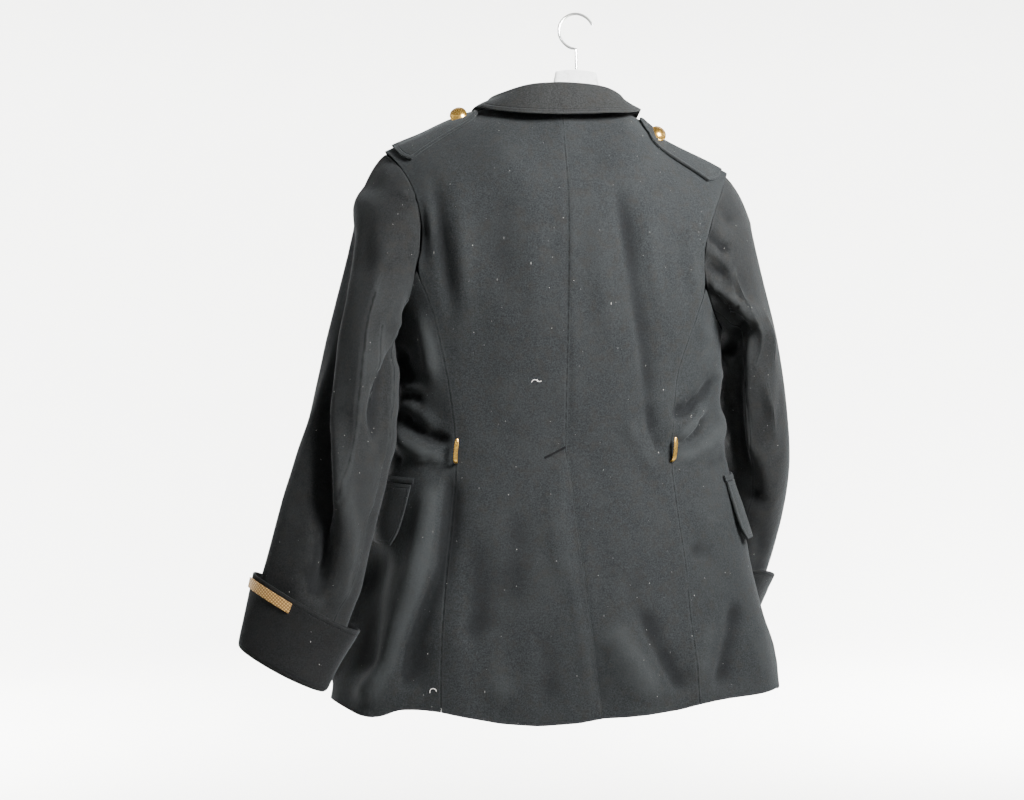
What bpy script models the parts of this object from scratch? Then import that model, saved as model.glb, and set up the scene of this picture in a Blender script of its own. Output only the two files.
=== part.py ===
"""Police dress tunic of dark melton wool, empty, hung on a plain suit hanger.

Metres. +Z is up. The front of the tunic faces -Y and its back +Y, so the wearer's
left is +X. The origin is where the hanger's hook rests on the rod that carries it.
"""
import math
from bisect import bisect_right

import bmesh
import bpy
import numpy as np

# Cloth and seams
WALL = 0.0020
SEAM = 0.0004
LAY = 0.0005
GARMENT_X = 0.031

# Heights below the rod
Z_HEM = -0.913
HEM_RISE = 0.014
Z_JOIN = -0.350
Z_UNDERARM = -0.402
Z_NECK_BACK = -0.138
Z_NECK_SIDE = -0.121
Z_TIP = -0.187

# Half widths and depths of neck and shoulder
X_NECK = 0.080
X_TIP = 0.222
Y_NECK = 0.066
ROLL_BACK = 0.115
ROLL_FRONT = 0.150

# Right shoulder hangs lower
DROOP = 0.017
DROOP_X0, DROOP_X1 = 0.082, 0.150
DROOP_Z0, DROOP_Z1 = -0.520, -0.380
RIGHT_WIDER = 0.015
WIDER_X0, WIDER_X1 = 0.090, 0.215
WIDER_Z0, WIDER_Z1 = -0.330, -0.225

# Skirt vent, left back over right back
Z_VENT = -0.572
VENT_OVER = 0.040
VENT_UNDER = 0.034
TUCK = 0.0027

# Front closing, left front over right front
FRONT_LAP = 0.020
Z_BREAK = -0.4055
Z_GORGE_IN = -0.186
Z_GORGE_OUT = -0.230
X_ROLL_TOP = 0.080
LAPEL_WIDTH = 0.074
FRONT_BUTTON_Z = (-0.420, -0.500, -0.580, -0.660)

# Body rings: height, half width on the left and right, depth of back, depth of front
BODY_COLUMNS = ("z", "left", "right", "back", "front")
BODY = (
    (-0.930, 0.298, 0.311, 0.128, 0.090),
    (-0.860, 0.286, 0.302, 0.126, 0.092),
    (-0.780, 0.262, 0.281, 0.120, 0.092),
    (-0.700, 0.242, 0.262, 0.111, 0.090),
    (-0.630, 0.223, 0.246, 0.101, 0.086),
    (-0.570, 0.214, 0.232, 0.096, 0.083),
    (-0.510, 0.211, 0.226, 0.100, 0.088),
    (-0.440, 0.211, 0.220, 0.109, 0.098),
    (-0.370, 0.228, 0.233, 0.117, 0.108),
    (-0.300, 0.244, 0.247, 0.119, 0.110),
    (-0.220, 0.252, 0.254, 0.112, 0.102),
    (-0.120, 0.256, 0.258, 0.100, 0.090),
)
SQUARE = 2.15

# Seams: height, distances from the middle of the side-back seams and side-front seam
SEAM_COLUMNS = ("z", "back_left", "back_right", "front")
SEAMS = (
    (-0.930, 0.158, 0.172, 0.222),
    (-0.810, 0.156, 0.164, 0.200),
    (-0.710, 0.148, 0.154, 0.180),
    (-0.640, 0.140, 0.145, 0.166),
    (-0.580, 0.136, 0.139, 0.158),
    (-0.520, 0.141, 0.143, 0.160),
    (-0.450, 0.153, 0.156, 0.168),
    (-0.394, 0.167, 0.171, 0.180),
    (-0.350, 0.186, 0.186, 0.190),
)

# Armhole edges above the join: height and distance from the middle, back and front
ARMHOLE_COLUMNS = ("z", "back", "front")
ARMHOLE = (
    (-0.350, 0.186, 0.190),
    (-0.316, 0.181, 0.177),
    (-0.285, 0.182, 0.173),
    (-0.255, 0.189, 0.178),
    (-0.226, 0.201, 0.193),
    (-0.203, 0.213, 0.210),
    (-0.187, 0.222, 0.222),
)

# Body folds: side, face, start x and z, end x and z, half breadth, rise outwards
FOLD_COLUMNS = ("side", "face", "x0", "z0", "x1", "z1", "breadth", "rise")
FOLDS = (
    (+1, +1, 0.170, -0.640, 0.192, -0.740, 0.020, 0.007),
    (+1, +1, 0.192, -0.740, 0.250, -0.930, 0.024, 0.014),
    (+1, +1, 0.238, -0.700, 0.276, -0.860, 0.022, -0.012),
    (+1, +1, 0.112, -0.240, 0.104, -0.480, 0.024, -0.0035),
    (-1, +1, 0.124, -0.230, 0.112, -0.480, 0.024, -0.0035),
    (+1, +1, 0.160, -0.535, 0.210, -0.525, 0.016, -0.004),
    (+1, +1, 0.165, -0.570, 0.210, -0.575, 0.016, 0.004),
    (-1, +1, 0.235, -0.425, 0.150, -0.540, 0.018, 0.007),
    (-1, +1, 0.200, -0.390, 0.140, -0.490, 0.016, -0.004),
    (-1, +1, 0.215, -0.520, 0.155, -0.575, 0.016, -0.005),
    (-1, +1, 0.095, -0.800, 0.085, -0.930, 0.026, 0.006),
    (-1, +1, 0.205, -0.760, 0.220, -0.930, 0.026, -0.007),
    (-1, +1, 0.250, -0.800, 0.262, -0.930, 0.026, 0.006),
    (-1, +1, 0.150, -0.780, 0.152, -0.930, 0.024, -0.005),
    (+1, +1, 0.080, -0.760, 0.090, -0.930, 0.028, -0.005),
    (+1, +1, 0.135, -0.800, 0.140, -0.930, 0.022, 0.004),
    (+1, -1, 0.150, -0.700, 0.170, -0.930, 0.026, 0.008),
    (-1, -1, 0.160, -0.700, 0.180, -0.930, 0.026, 0.008),
    (+1, -1, 0.190, -0.420, 0.130, -0.520, 0.018, 0.005),
    (-1, -1, 0.190, -0.430, 0.130, -0.530, 0.018, 0.006),
)

# Sleeve stations below the shoulder: centre, half breadth across and deep, turn of
# the oval about the arm, and tilt of its plane outwards and backwards, in degrees
SLEEVE_COLUMNS = ("x", "y", "z", "across", "deep", "turn", "tilt_out", "tilt_back")
SLEEVE_LEFT = (
    (0.2525, 0.018, -0.425, 0.0405, 0.076, 14.0, 24.0, 4.0),
    (0.2625, 0.034, -0.505, 0.0475, 0.073, 18.0, 18.0, 2.0),
    (0.2765, 0.044, -0.588, 0.0550, 0.066, 22.0, 17.0, 0.0),
    (0.2965, 0.050, -0.661, 0.0565, 0.058, 18.0, 20.0, 0.0),
    (0.3120, 0.054, -0.723, 0.0575, 0.049, 12.0, 24.0, 0.0),
    (0.3325, 0.057, -0.786, 0.0560, 0.041, 6.0, 27.0, 0.0),
    (0.3510, 0.060, -0.8425, 0.0530, 0.037, 2.0, 29.0, 0.0),
)
SLEEVE_RIGHT = (
    (0.2648, -0.006, -0.425, 0.039, 0.080, 0.0, 18.0, -4.0),
    (0.2768, -0.012, -0.505, 0.0415, 0.078, 0.0, 10.0, -6.0),
    (0.2875, -0.030, -0.590, 0.044, 0.075, -4.0, 6.0, -12.0),
    (0.2905, -0.060, -0.665, 0.044, 0.070, -8.0, 2.0, -18.0),
    (0.2850, -0.092, -0.730, 0.045, 0.066, -8.0, -2.0, -22.0),
    (0.2770, -0.126, -0.792, 0.046, 0.063, -6.0, -4.0, -24.0),
    (0.2700, -0.156, -0.846, 0.047, 0.061, -4.0, -4.0, -24.0),
)
SLEEVE_POINT = 1.75

# Sleeve folds: start angle and row, end angle and row, half breadth, rise outwards
SLEEVE_FOLD_COLUMNS = ("a0", "t0", "a1", "t1", "breadth", "rise")
FOLDS_LEFT = (
    (62.0, 0.10, 88.0, 0.98, 0.014, 0.007),
    (104.0, 0.22, 122.0, 0.62, 0.010, -0.008),
    (30.0, 0.30, 40.0, 0.95, 0.022, -0.005),
    (150.0, 0.45, 150.0, 0.80, 0.016, 0.004),
    (300.0, 0.45, 270.0, 0.62, 0.014, -0.006),
)
FOLDS_RIGHT = (
    (108.0, 0.10, 72.0, 0.30, 0.011, 0.009),
    (104.0, 0.02, 62.0, 0.20, 0.010, -0.008),
    (118.0, 0.22, 84.0, 0.40, 0.011, -0.008),
    (60.0, 0.40, 92.0, 0.55, 0.013, -0.005),
    (96.0, 0.40, 118.0, 0.80, 0.016, 0.004),
    (250.0, 0.38, 285.0, 0.56, 0.014, -0.008),
)
HEAD_SHARE = 0.30
SLEEVE_END = 0.994
HIND_SEAM = 128.0
FORE_SEAM = 246.0

# Turned-back cuff: rise along the sleeve and stand off it, top edge to the inside
CUFF_COLUMNS = ("along", "off")
CUFF = (
    (0.0960, 0.0120),
    (0.0800, 0.0098),
    (0.0550, 0.0074),
    (0.0300, 0.0056),
    (0.0080, 0.0046),
    (0.0000, 0.0034),
    (-0.0034, -0.0010),
    (0.0000, -0.0058),
    (0.0080, -0.0068),
    (0.0240, -0.0070),
)
CUFF_LIP = 0.007
CUFF_OUTER = 0.19
ARM_LONG = 0.44
BRAID_LOW, BRAID_HIGH = 0.079, 0.091
BRAID_A0, BRAID_A1 = 4.0, 72.0

# Collar: stations from the middle of the back to the front end, with the foot of the
# stand, the roll at the top and the edge of the fall
COLLAR_COLUMNS = ("at", "foot_x", "foot_y", "foot_z", "roll_x", "roll_y", "roll_z",
                  "edge_x", "edge_y", "edge_z", "right_out", "left_low")
COLLAR = (
    (0.00, 0.000, 0.063, -0.136, 0.000, 0.062, -0.106, 0.000, 0.091, -0.150, 0.0, 0.0),
    (0.22, 0.036, 0.058, -0.134, 0.038, 0.058, -0.107, 0.052, 0.082, -0.148, 0.004, 0.002),
    (0.42, 0.064, 0.034, -0.128, 0.066, 0.036, -0.109, 0.092, 0.050, -0.138, 0.011, 0.006),
    (0.56, 0.071, 0.006, -0.120, 0.077, 0.006, -0.110, 0.106, 0.010, -0.126, 0.011, 0.005),
    (0.70, 0.068, -0.026, -0.128, 0.076, -0.026, -0.117, 0.109, -0.034, -0.137, 0.008, 0.003),
    (0.85, 0.066, -0.056, -0.150, 0.073, -0.058, -0.140, 0.111, -0.071, -0.163, 0.004, 0.0),
    (1.00, 0.060, -0.078, -0.176, 0.068, -0.082, -0.168, 0.112, -0.094, -0.190, 0.0, 0.0),
)
COLLAR_ROLL = 0.0060

# Shoulder straps: neck end, sleeve end, half widths there, lean towards the back
STRAP_X0, STRAP_X1 = 0.113, 0.2190
STRAP_SWEEP = 0.0055
STRAP_TURN = 0.009
STRAP_HALF0, STRAP_HALF1 = 0.0205, 0.0265
STRAP_THICK = 0.0030
STRAP_BACK_LEFT, STRAP_BACK_RIGHT = 0.012, 0.023
STRAP_BUTTON_X = 0.131
BUTTON_SMALL = 0.0088
BUTTON_LARGE = 0.0115

# Button: share of its radius and height over its seat, as shares of the full radius
BUTTON_COLUMNS = ("radius", "height")
BUTTON = (
    (0.42, -0.10),
    (0.90, -0.02),
    (1.00, 0.06),
    (0.98, 0.14),
    (0.86, 0.24),
    (0.62, 0.40),
    (0.32, 0.48),
)

# Pocket flaps: rear edge round the body in degrees, length, top, depth, thickness
FLAP_ANGLE_LEFT, FLAP_ANGLE_RIGHT = 58.0, 65.0
FLAP_LENGTH = 0.158
FLAP_Z = -0.618
FLAP_DEEP = 0.076
FLAP_THICK = 0.0026
WELT_DEEP = 0.0075

# Belt hooks on the side-back seams
HOOK_Z = -0.589
HOOK_TALL = 0.031
HOOK_WIDE = 0.0056
HOOK_THICK = 0.0022
HOOK_STAND = 0.0085

# Hanger
HANGER_WIRE = 0.0021
HANGER_LOOP = 0.0235
HANGER_HEAD = -0.072
HANGER_NECK = 0.028
HANGER_SIDE = 0.0312
HANGER_FLAT = 0.088
HANGER_LEFT, HANGER_RIGHT = 0.188, 0.172


# Looks: colour, roughness, metal
MELTON = ((0.012, 0.013, 0.019), 0.92, 0.0)
GOLD = ((0.72, 0.48, 0.16), 0.30, 1.0)
BRAID = ((0.52, 0.36, 0.14), 0.55, 0.4)
PLASTIC = ((0.70, 0.71, 0.72), 0.35, 0.0)
CHROME = ((0.80, 0.80, 0.80), 0.15, 1.0)


class Curve:
    """Smooth curve through the rows of one column of a table."""

    def __init__(self, at, values):
        self.at = [float(v) for v in at]
        self.values = [float(v) for v in values]
        self.slopes = [float(v) for v in np.gradient(self.values, self.at)]

    def __call__(self, where):
        at, values, slopes = self.at, self.values, self.slopes
        i = min(max(bisect_right(at, where) - 1, 0), len(at) - 2)
        span = at[i + 1] - at[i]
        u = (where - at[i]) / span
        if u < 0.0:
            return values[0] + slopes[0] * (where - at[0])
        if u > 1.0:
            return values[-1] + slopes[-1] * (where - at[-1])
        a = (1 + 2 * u) * (1 - u) ** 2
        b = u * (1 - u) ** 2 * span
        c = u * u * (3 - 2 * u)
        d = u * u * (u - 1) * span
        return a * values[i] + b * slopes[i] + c * values[i + 1] + d * slopes[i + 1]


def table(rows, names, at=None):
    """Smooth curves of a table's columns, by name, over its first column or over at."""
    columns = {name: [row[i] for row in rows] for i, name in enumerate(names)}
    key = columns[names[0]] if at is None else at
    return {name: Curve(key, values) for name, values in columns.items()}


def even(rows):
    """Positions 0 to 1 for the rows of a table."""
    return [i / (len(rows) - 1) for i in range(len(rows))]


BODY_AT = table(BODY, BODY_COLUMNS)
SEAM_AT = table(SEAMS, SEAM_COLUMNS)
ARMHOLE_AT = table(ARMHOLE, ARMHOLE_COLUMNS)
COLLAR_AT = table(COLLAR, COLLAR_COLUMNS)
SLEEVE_AT = {1: table(SLEEVE_LEFT, SLEEVE_COLUMNS, even(SLEEVE_LEFT)),
             -1: table(SLEEVE_RIGHT, SLEEVE_COLUMNS, even(SLEEVE_RIGHT))}
CUFF_AT = table(CUFF, CUFF_COLUMNS, list(range(len(CUFF))))


def ease(value, start, end):
    """Soft step from 0 at start to 1 at end."""
    u = min(max((value - start) / (end - start), 0.0), 1.0)
    return u * u * (3 - 2 * u)


def unit(v):
    """Vector of length one."""
    return v / max(math.sqrt(float(v @ v)), 1e-12)


def cross(a, b):
    """Vector square to two vectors."""
    return np.array([a[1] * b[2] - a[2] * b[1], a[2] * b[0] - a[0] * b[2],
                     a[0] * b[1] - a[1] * b[0]])


def bump(x, y, x0, y0, x1, y1, breadth):
    """Soft ridge of height one along a line."""
    dx, dy = x1 - x0, y1 - y0
    u = ((x - x0) * dx + (y - y0) * dy) / (dx * dx + dy * dy)
    u = min(max(u, 0.0), 1.0)
    far = math.hypot(x - x0 - u * dx, y - y0 - u * dy) / breadth
    return math.exp(-far * far)


def fold_rise(x, z, side, face):
    """Outward displacement of the body's cloth by its large folds."""
    total = 0.0
    for of_side, of_face, x0, z0, x1, z1, breadth, rise in FOLDS:
        if of_side == side and of_face == face:
            total += rise * bump(x, z, x0, z0, x1, z1, breadth)
    return total


def top_edge(x, face):
    """Height and depth of the neckline or shoulder seam at a distance from the middle."""
    if x > X_NECK or face < 0:
        u = max((x - X_NECK) / (X_TIP - X_NECK), -0.35)
        return Z_NECK_SIDE + (Z_TIP - Z_NECK_SIDE) * u, 0.0
    u = max(x, 0.0) / X_NECK
    height = Z_NECK_BACK + (Z_NECK_SIDE - Z_NECK_BACK) * u ** 2
    return height, Y_NECK * (1 - u ** 2.2)


def half_width(z, side):
    """Half width of the body at a height."""
    return BODY_AT["left" if side > 0 else "right"](z)


def back_seam(z, side):
    """Distance of the side-back seam from the middle at a height."""
    return SEAM_AT["back_left" if side > 0 else "back_right"](z)


def skin(x, z, side, face):
    """Point of the body's outer surface, on the left of the middle; side picks folds."""
    half = half_width(z, side if x >= 0 else -side)
    deep = BODY_AT["back" if face > 0 else "front"](z)
    across = min(abs(x) / half, 0.9999)
    full = face * deep * (1 - across ** SQUARE) ** (1 / SQUARE)
    z_top, y_top = top_edge(abs(x), face)
    reach = ROLL_BACK if face > 0 else ROLL_FRONT
    blunt = 1.15 + 0.55 * ease(abs(x), 0.3 * X_NECK, X_NECK)
    t = min(max((z_top - z) / reach, 0.0), 1.0)
    roll = (1 - (1 - t) ** blunt) ** (1 / blunt)
    y = y_top + (full - y_top) * roll
    rise = fold_rise(abs(x), z, side if x >= 0 else -side, face)
    nx, ny = x / half ** 2, full / deep ** 2
    share = rise / max(math.hypot(nx, ny), 1e-9)
    return np.array([x + nx * share, y + ny * share, z])


def ring(turn, z, side):
    """Point of the body's outer surface at an angle from the middle of the back."""
    half = half_width(z, side)
    x = half * min(abs(math.sin(turn)), 0.99999) ** (2 / SQUARE)
    return skin(x, z, side, 1 if math.cos(turn) >= 0 else -1)


def seam_turn(z, face, side):
    """Angle of the side-back or side-front seam at a height."""
    half = half_width(z, side)
    x = back_seam(z, side) if face > 0 else SEAM_AT["front"](z)
    turn = math.asin((x / half) ** (SQUARE / 2))
    return turn if face > 0 else math.pi - turn


def hem_height(x):
    """Hem, a little higher at the sides."""
    return Z_HEM + HEM_RISE * ease(abs(x), 0.06, 0.30)


def settle(p, side, drooping=True):
    """Mirror to the right side, lower the right shoulder and set beside the hook."""
    x, y, z = p
    x = side * x
    if not drooping:
        return np.array([x + GARMENT_X, y, z])
    low = DROOP * ease(-x, DROOP_X0, DROOP_X1) * ease(z, DROOP_Z0, DROOP_Z1)
    wider = RIGHT_WIDER * ease(-x, WIDER_X0, WIDER_X1) * ease(z, WIDER_Z0, WIDER_Z1)
    return np.array([x + GARMENT_X - wider, y, z - low])


def back_inner(z, side):
    """Middle edge of a back: the seam, and below it the vent's lap."""
    if z >= Z_VENT:
        return SEAM / 2
    down = (Z_VENT - z) / (Z_VENT - Z_HEM)
    if side > 0:
        return -VENT_OVER * down ** 0.9 - 0.0006
    return -VENT_UNDER * min(down * 8, 1.0) ** 0.7 - 0.0004


def back_tuck(x, z, side):
    """How far the right back lies under the left one at the vent."""
    if side > 0:
        return 0.0
    depth = ease(z, Z_VENT + 0.034, Z_VENT + 0.003)
    return TUCK * depth * ease(x, VENT_OVER + 0.022, VENT_OVER + 0.006)


def back_point(s, r, side):
    """Back panel: s from the middle to the side seam, r hem to join to shoulder."""
    if r <= 1.0:
        z = Z_HEM + (Z_JOIN - Z_HEM) * r
        edge = back_seam(z, side) - SEAM / 2
        inner = back_inner(z, side)
        z += (hem_height(inner + (edge - inner) * s) - Z_HEM) * (1 - r)
        edge = back_seam(z, side) - SEAM / 2
        x = inner + (edge - inner) * s
    else:
        v = r - 1.0
        outer = Z_JOIN + (Z_TIP - Z_JOIN) * v
        edge = ARMHOLE_AT["back"](outer) - SEAM / 2
        x = SEAM / 2 + (edge - SEAM / 2) * s
        z = Z_JOIN + (top_edge(x, 1)[0] - Z_JOIN) * v
    p = skin(x, z, side, 1)
    p[1] += SEAM / 2 - back_tuck(x, z, side)
    return p


def front_inner(z):
    """Middle edge of a front: the lap, and above it the roll line of the lapel."""
    if z <= Z_BREAK:
        return -FRONT_LAP
    u = (z - Z_BREAK) / (Z_NECK_SIDE - Z_BREAK)
    return -FRONT_LAP + (X_ROLL_TOP + FRONT_LAP) * u ** 0.72


def front_tuck(x, z, side):
    """How far the right front lies under the left one where they lap."""
    if side > 0:
        return 0.0
    near = ease(x, FRONT_LAP + 0.025, FRONT_LAP + 0.006)
    return TUCK * near * ease(z, Z_BREAK + 0.085, Z_BREAK + 0.040)


def front_point(s, r, side):
    """Front panel: s from the middle to the side seam, r hem to join to shoulder."""
    if r <= 1.0:
        z = Z_HEM + (Z_JOIN - Z_HEM) * r
        edge = SEAM_AT["front"](z) - SEAM / 2
        inner = front_inner(z)
        z += (hem_height(inner + (edge - inner) * s) - Z_HEM) * (1 - r)
        edge = SEAM_AT["front"](z) - SEAM / 2
        x = inner + (edge - inner) * s
    else:
        v = r - 1.0
        outer = Z_JOIN + (Z_TIP - Z_JOIN) * v
        edge = ARMHOLE_AT["front"](outer) - SEAM / 2
        inner = front_inner(Z_JOIN + (Z_NECK_SIDE - Z_JOIN) * v)
        x = inner + (edge - inner) * s
        z = Z_JOIN + (top_edge(x, -1)[0] - Z_JOIN) * v
    p = skin(x, z, side, -1)
    p[1] -= SEAM / 2 - front_tuck(x, z, side)
    return p


def side_point(s, r, side):
    """Side body under the arm: s from the back seam to the front seam, r hem to armhole."""
    scoop = abs(2 * s - 1) ** 2.2
    top = Z_UNDERARM + (Z_JOIN - Z_UNDERARM) * scoop
    z = Z_HEM + (top - Z_HEM) * r
    half = half_width(z, side)
    start, end = seam_turn(z, 1, side), seam_turn(z, -1, side)
    x = half * math.sin(start + (end - start) * s) ** (2 / SQUARE)
    z += (hem_height(x) - Z_HEM) * (1 - r)
    pad = SEAM / half_width(z, side)
    start, end = seam_turn(z, 1, side) + pad, seam_turn(z, -1, side) - pad
    return ring(start + (end - start) * s, z, side)


def normal_at(surface, a, b, a_range, b_range, sign):
    """Outward unit normal of a surface function."""
    e = 0.0015
    a0, a1 = max(a - e, a_range[0]), min(a + e, a_range[1])
    b0, b1 = max(b - e, b_range[0]), min(b + e, b_range[1])
    along = surface(a1, b) - surface(a0, b)
    up = surface(a, b1) - surface(a, b0)
    return unit(cross(along, up)) * sign


def material(name, colour, rough, metal):
    """Principled material of one part."""
    mat = bpy.data.materials.new(name)
    mat.use_nodes = True
    shader = mat.node_tree.nodes["Principled BSDF"]
    shader.inputs["Base Color"].default_value = (*colour, 1.0)
    shader.inputs["Roughness"].default_value = rough
    shader.inputs["Metallic"].default_value = metal
    return mat


def add(name, points, faces, look):
    """One part as a named object with its own material."""
    mesh = bpy.data.meshes.new(name)
    mesh.from_pydata([tuple(float(c) for c in p) for p in points], [], faces)
    bm = bmesh.new()
    bm.from_mesh(mesh)
    bmesh.ops.recalc_face_normals(bm, faces=bm.faces)
    if bm.calc_volume(signed=True) < 0:
        bmesh.ops.reverse_faces(bm, faces=bm.faces)
    bm.to_mesh(mesh)
    bm.free()
    for polygon in mesh.polygons:
        polygon.use_smooth = True
    part = bpy.data.objects.new(name, mesh)
    bpy.context.scene.collection.objects.link(part)
    mesh.materials.append(material(f"{name}_look", *look))
    return part


def wall(name, outer, inner, look, closed=False):
    """Closed wall between an outer and an inner grid of points, rows by columns."""
    rows, columns = len(outer), len(outer[0])
    points = [p for row in outer for p in row] + [p for row in inner for p in row]
    layer = rows * columns
    faces = []
    last = columns if closed else columns - 1
    for i in range(rows - 1):
        for j in range(last):
            k = (j + 1) % columns
            a, b = i * columns + j, i * columns + k
            c, d = (i + 1) * columns + k, (i + 1) * columns + j
            faces.append((a, b, c, d))
            faces.append((layer + d, layer + c, layer + b, layer + a))
    for j in range(last):
        k = (j + 1) % columns
        top = (rows - 1) * columns
        faces.append((k, j, layer + j, layer + k))
        faces.append((top + j, top + k, layer + top + k, layer + top + j))
    if not closed:
        for i in range(rows - 1):
            a, b = i * columns, (i + 1) * columns
            faces.append((a, b, layer + b, layer + a))
            a, b = a + columns - 1, b + columns - 1
            faces.append((b, a, layer + a, layer + b))
    return add(name, points, faces, look)


def cloth(name, surface, a_list, b_list, side, sign, look=MELTON, thick=WALL, lift=0.0,
          normal=None, drooping=True):
    """Wall of cloth on a surface function, its thickness inwards from the surface."""
    a_range = (min(a_list), max(a_list))
    b_range = (min(b_list), max(b_list))
    outer, inner = [], []
    for b in b_list:
        high, low = [], []
        for a in a_list:
            p = surface(a, b)
            n = normal(a, b) if normal else normal_at(surface, a, b, a_range, b_range, sign)
            rise = lift(a, b) if callable(lift) else lift
            high.append(settle(p + n * rise, side, drooping))
            low.append(settle(p + n * (rise - thick), side, drooping))
        outer.append(high)
        inner.append(low)
    return wall(name, outer, inner, look)


def spaced(start, end, count):
    """Even list of values."""
    return [start + (end - start) * i / (count - 1) for i in range(count)]


def low_rows():
    """Rows from the hem to the armhole join, one of them at the vent."""
    vent = (Z_VENT - Z_HEM) / (Z_JOIN - Z_HEM)
    return spaced(0.0, vent, 11) + spaced(vent, 1.0, 9)[1:]


BACK_ROWS = [1.14, 1.28, 1.42, 1.55, 1.67, 1.78, 1.87, 1.94, 1.98, 2.0]
FRONT_ROWS = [1.14, 1.30, 1.46, 1.60, 1.72, 1.83, 1.92, 1.98, 2.0]
SIDE_COLUMNS = [0.0, 0.07, 0.14, 0.21, 0.28, 0.35, 0.42, 0.50, 0.62, 0.75, 0.88, 1.0]


def panel_normal(surface, s, r, sign):
    """Normal of a back or front, upright across the shoulder seam."""
    n = normal_at(surface, s, r, (0.0, 1.0), (0.0, 2.0), sign)
    share = ease(r, 1.90, 2.0) * ease(abs(surface(s, r)[0]), 0.9 * X_NECK, X_NECK)
    return unit(np.array([n[0], n[1] * (1 - share), n[2]]))


def build_body():
    """Backs, side bodies and fronts."""
    for side, label in ((1, "left"), (-1, "right")):
        cloth(f"back_{label}", lambda s, r: back_point(s, r, side),
              spaced(0.0, 1.0, 11), low_rows() + BACK_ROWS, side, -1,
              normal=lambda s, r: panel_normal(lambda a, b: back_point(a, b, side), s, r, -1))
        cloth(f"side_{label}", lambda s, r: side_point(s, r, side),
              SIDE_COLUMNS, low_rows(), side, -1)
        cloth(f"front_{label}", lambda s, r: front_point(s, r, side),
              spaced(0.0, 1.0, 9), low_rows() + FRONT_ROWS, side, 1,
              normal=lambda s, r: panel_normal(lambda a, b: front_point(a, b, side), s, r, 1))


def lapel_point(s, v, side):
    """Lapel on the front: s from the roll line to its edge, v from the break upwards."""
    z_in = Z_BREAK + (Z_GORGE_IN - Z_BREAK) * v
    z_out = Z_BREAK + (Z_GORGE_OUT - Z_BREAK) * v
    inner = front_inner(z_in)
    wide = LAPEL_WIDTH * (1 - (1 - v) ** 1.5) ** 0.9
    x = inner + wide * s + 0.0008
    z = z_in + (z_out - z_in) * s
    return skin(x, z, side, -1)


def lapel_lift(s, v):
    """The lapel stands off most along its roll."""
    return WALL + LAY + 0.0001 + 0.0045 * (1 - s) ** 2 * ease(v, 0.1, 0.35) + 0.0002 * s


def build_lapels():
    """Turned-back lapels."""
    for side, label in ((1, "left"), (-1, "right")):
        cloth(f"lapel_{label}", lambda s, v: lapel_point(s, v, side),
              spaced(0.0, 1.0, 7), spaced(0.20, 1.0, 11), side, 1, lift=lapel_lift)


def armhole_point(alpha, side):
    """Loop of the armhole from the shoulder tip by the back, under the arm and front."""
    if alpha <= 0.30:
        return back_point(1.0, 2.0 - alpha / 0.30, side)
    if alpha < 0.70:
        return side_point((alpha - 0.30) / 0.40, 1.0, side)
    return front_point(1.0, 1.0 + (alpha - 0.70) / 0.30, side)


def sleeve_ring(alpha, t, side):
    """Point of a sleeve below the arm: t from the first station to the last."""
    value = {k: curve(t) for k, curve in SLEEVE_AT[side].items()}
    angle = 2 * math.pi * alpha
    c, s = math.cos(angle), math.sin(angle)
    size = (abs(c) ** SLEEVE_POINT + abs(s) ** SLEEVE_POINT) ** (-1 / SLEEVE_POINT)
    u = value["across"] * c * size
    v = value["deep"] * s * size
    turn = math.radians(value["turn"])
    px = u * math.cos(turn) - v * math.sin(turn)
    py = u * math.sin(turn) + v * math.cos(turn)
    out = math.tan(math.radians(value["tilt_out"]))
    back = math.tan(math.radians(value["tilt_back"]))
    centre = np.array([value["x"], value["y"], value["z"]])
    return centre + np.array([px, py, px * out - py * back])


def sleeve_base(alpha, t, side):
    """Smooth sleeve: t from the armhole seam to the wrist."""
    alpha = alpha % 1.0
    if t >= HEAD_SHARE:
        return sleeve_ring(alpha, (t - HEAD_SHARE) / (1 - HEAD_SHARE), side)
    start = armhole_point(alpha, side)
    angle = 2 * math.pi * alpha
    crown = 0.5 + 0.5 * math.cos(angle)
    start = start + np.array([0.0010 + 0.0006 * max(0.0, -math.sin(angle)), 0.0, 0.0])
    end = sleeve_ring(alpha, 0.0, side)
    ahead = sleeve_ring(alpha, 0.02, side) - end
    length = float(np.linalg.norm(end - start))
    leave = np.array([0.9, 0.30 * math.sin(angle), -0.50])
    t0 = unit(leave) * length * (1.0 - 0.45 * crown)
    t1 = unit(ahead) * length * 0.9
    u = t / HEAD_SHARE
    a = (1 + 2 * u) * (1 - u) ** 2
    b = u * (1 - u) ** 2
    c = u * u * (3 - 2 * u)
    d = u * u * (u - 1)
    return a * start + b * t0 + c * end + d * t1


def sleeve_fold(alpha, t, side):
    """Outward displacement of a sleeve by its large folds."""
    total = 0.0
    degrees = 360.0 * (alpha % 1.0)
    round_it, tall = math.radians(0.062), 0.68
    for a0, t0, a1, t1, breadth, rise in FOLDS_LEFT if side > 0 else FOLDS_RIGHT:
        total += rise * bump(degrees * round_it, t * tall, a0 * round_it, t0 * tall,
                             a1 * round_it, t1 * tall, breadth)
    return total * ease(t, 0.0, 0.08) * ease(t, 1.0, 0.88)


def sleeve_point(alpha, t, side):
    """Sleeve surface with its folds."""
    p = sleeve_base(alpha, t, side)
    rise = sleeve_fold(alpha, t, side)
    if abs(rise) < 1e-6:
        return p
    e = 0.002
    along = sleeve_base(alpha + e, t, side) - sleeve_base(alpha - e, t, side)
    down = sleeve_base(alpha, min(t + e, 1.0), side) - sleeve_base(alpha, max(t - e, 0.0), side)
    return p + unit(cross(down, along)) * rise


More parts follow.
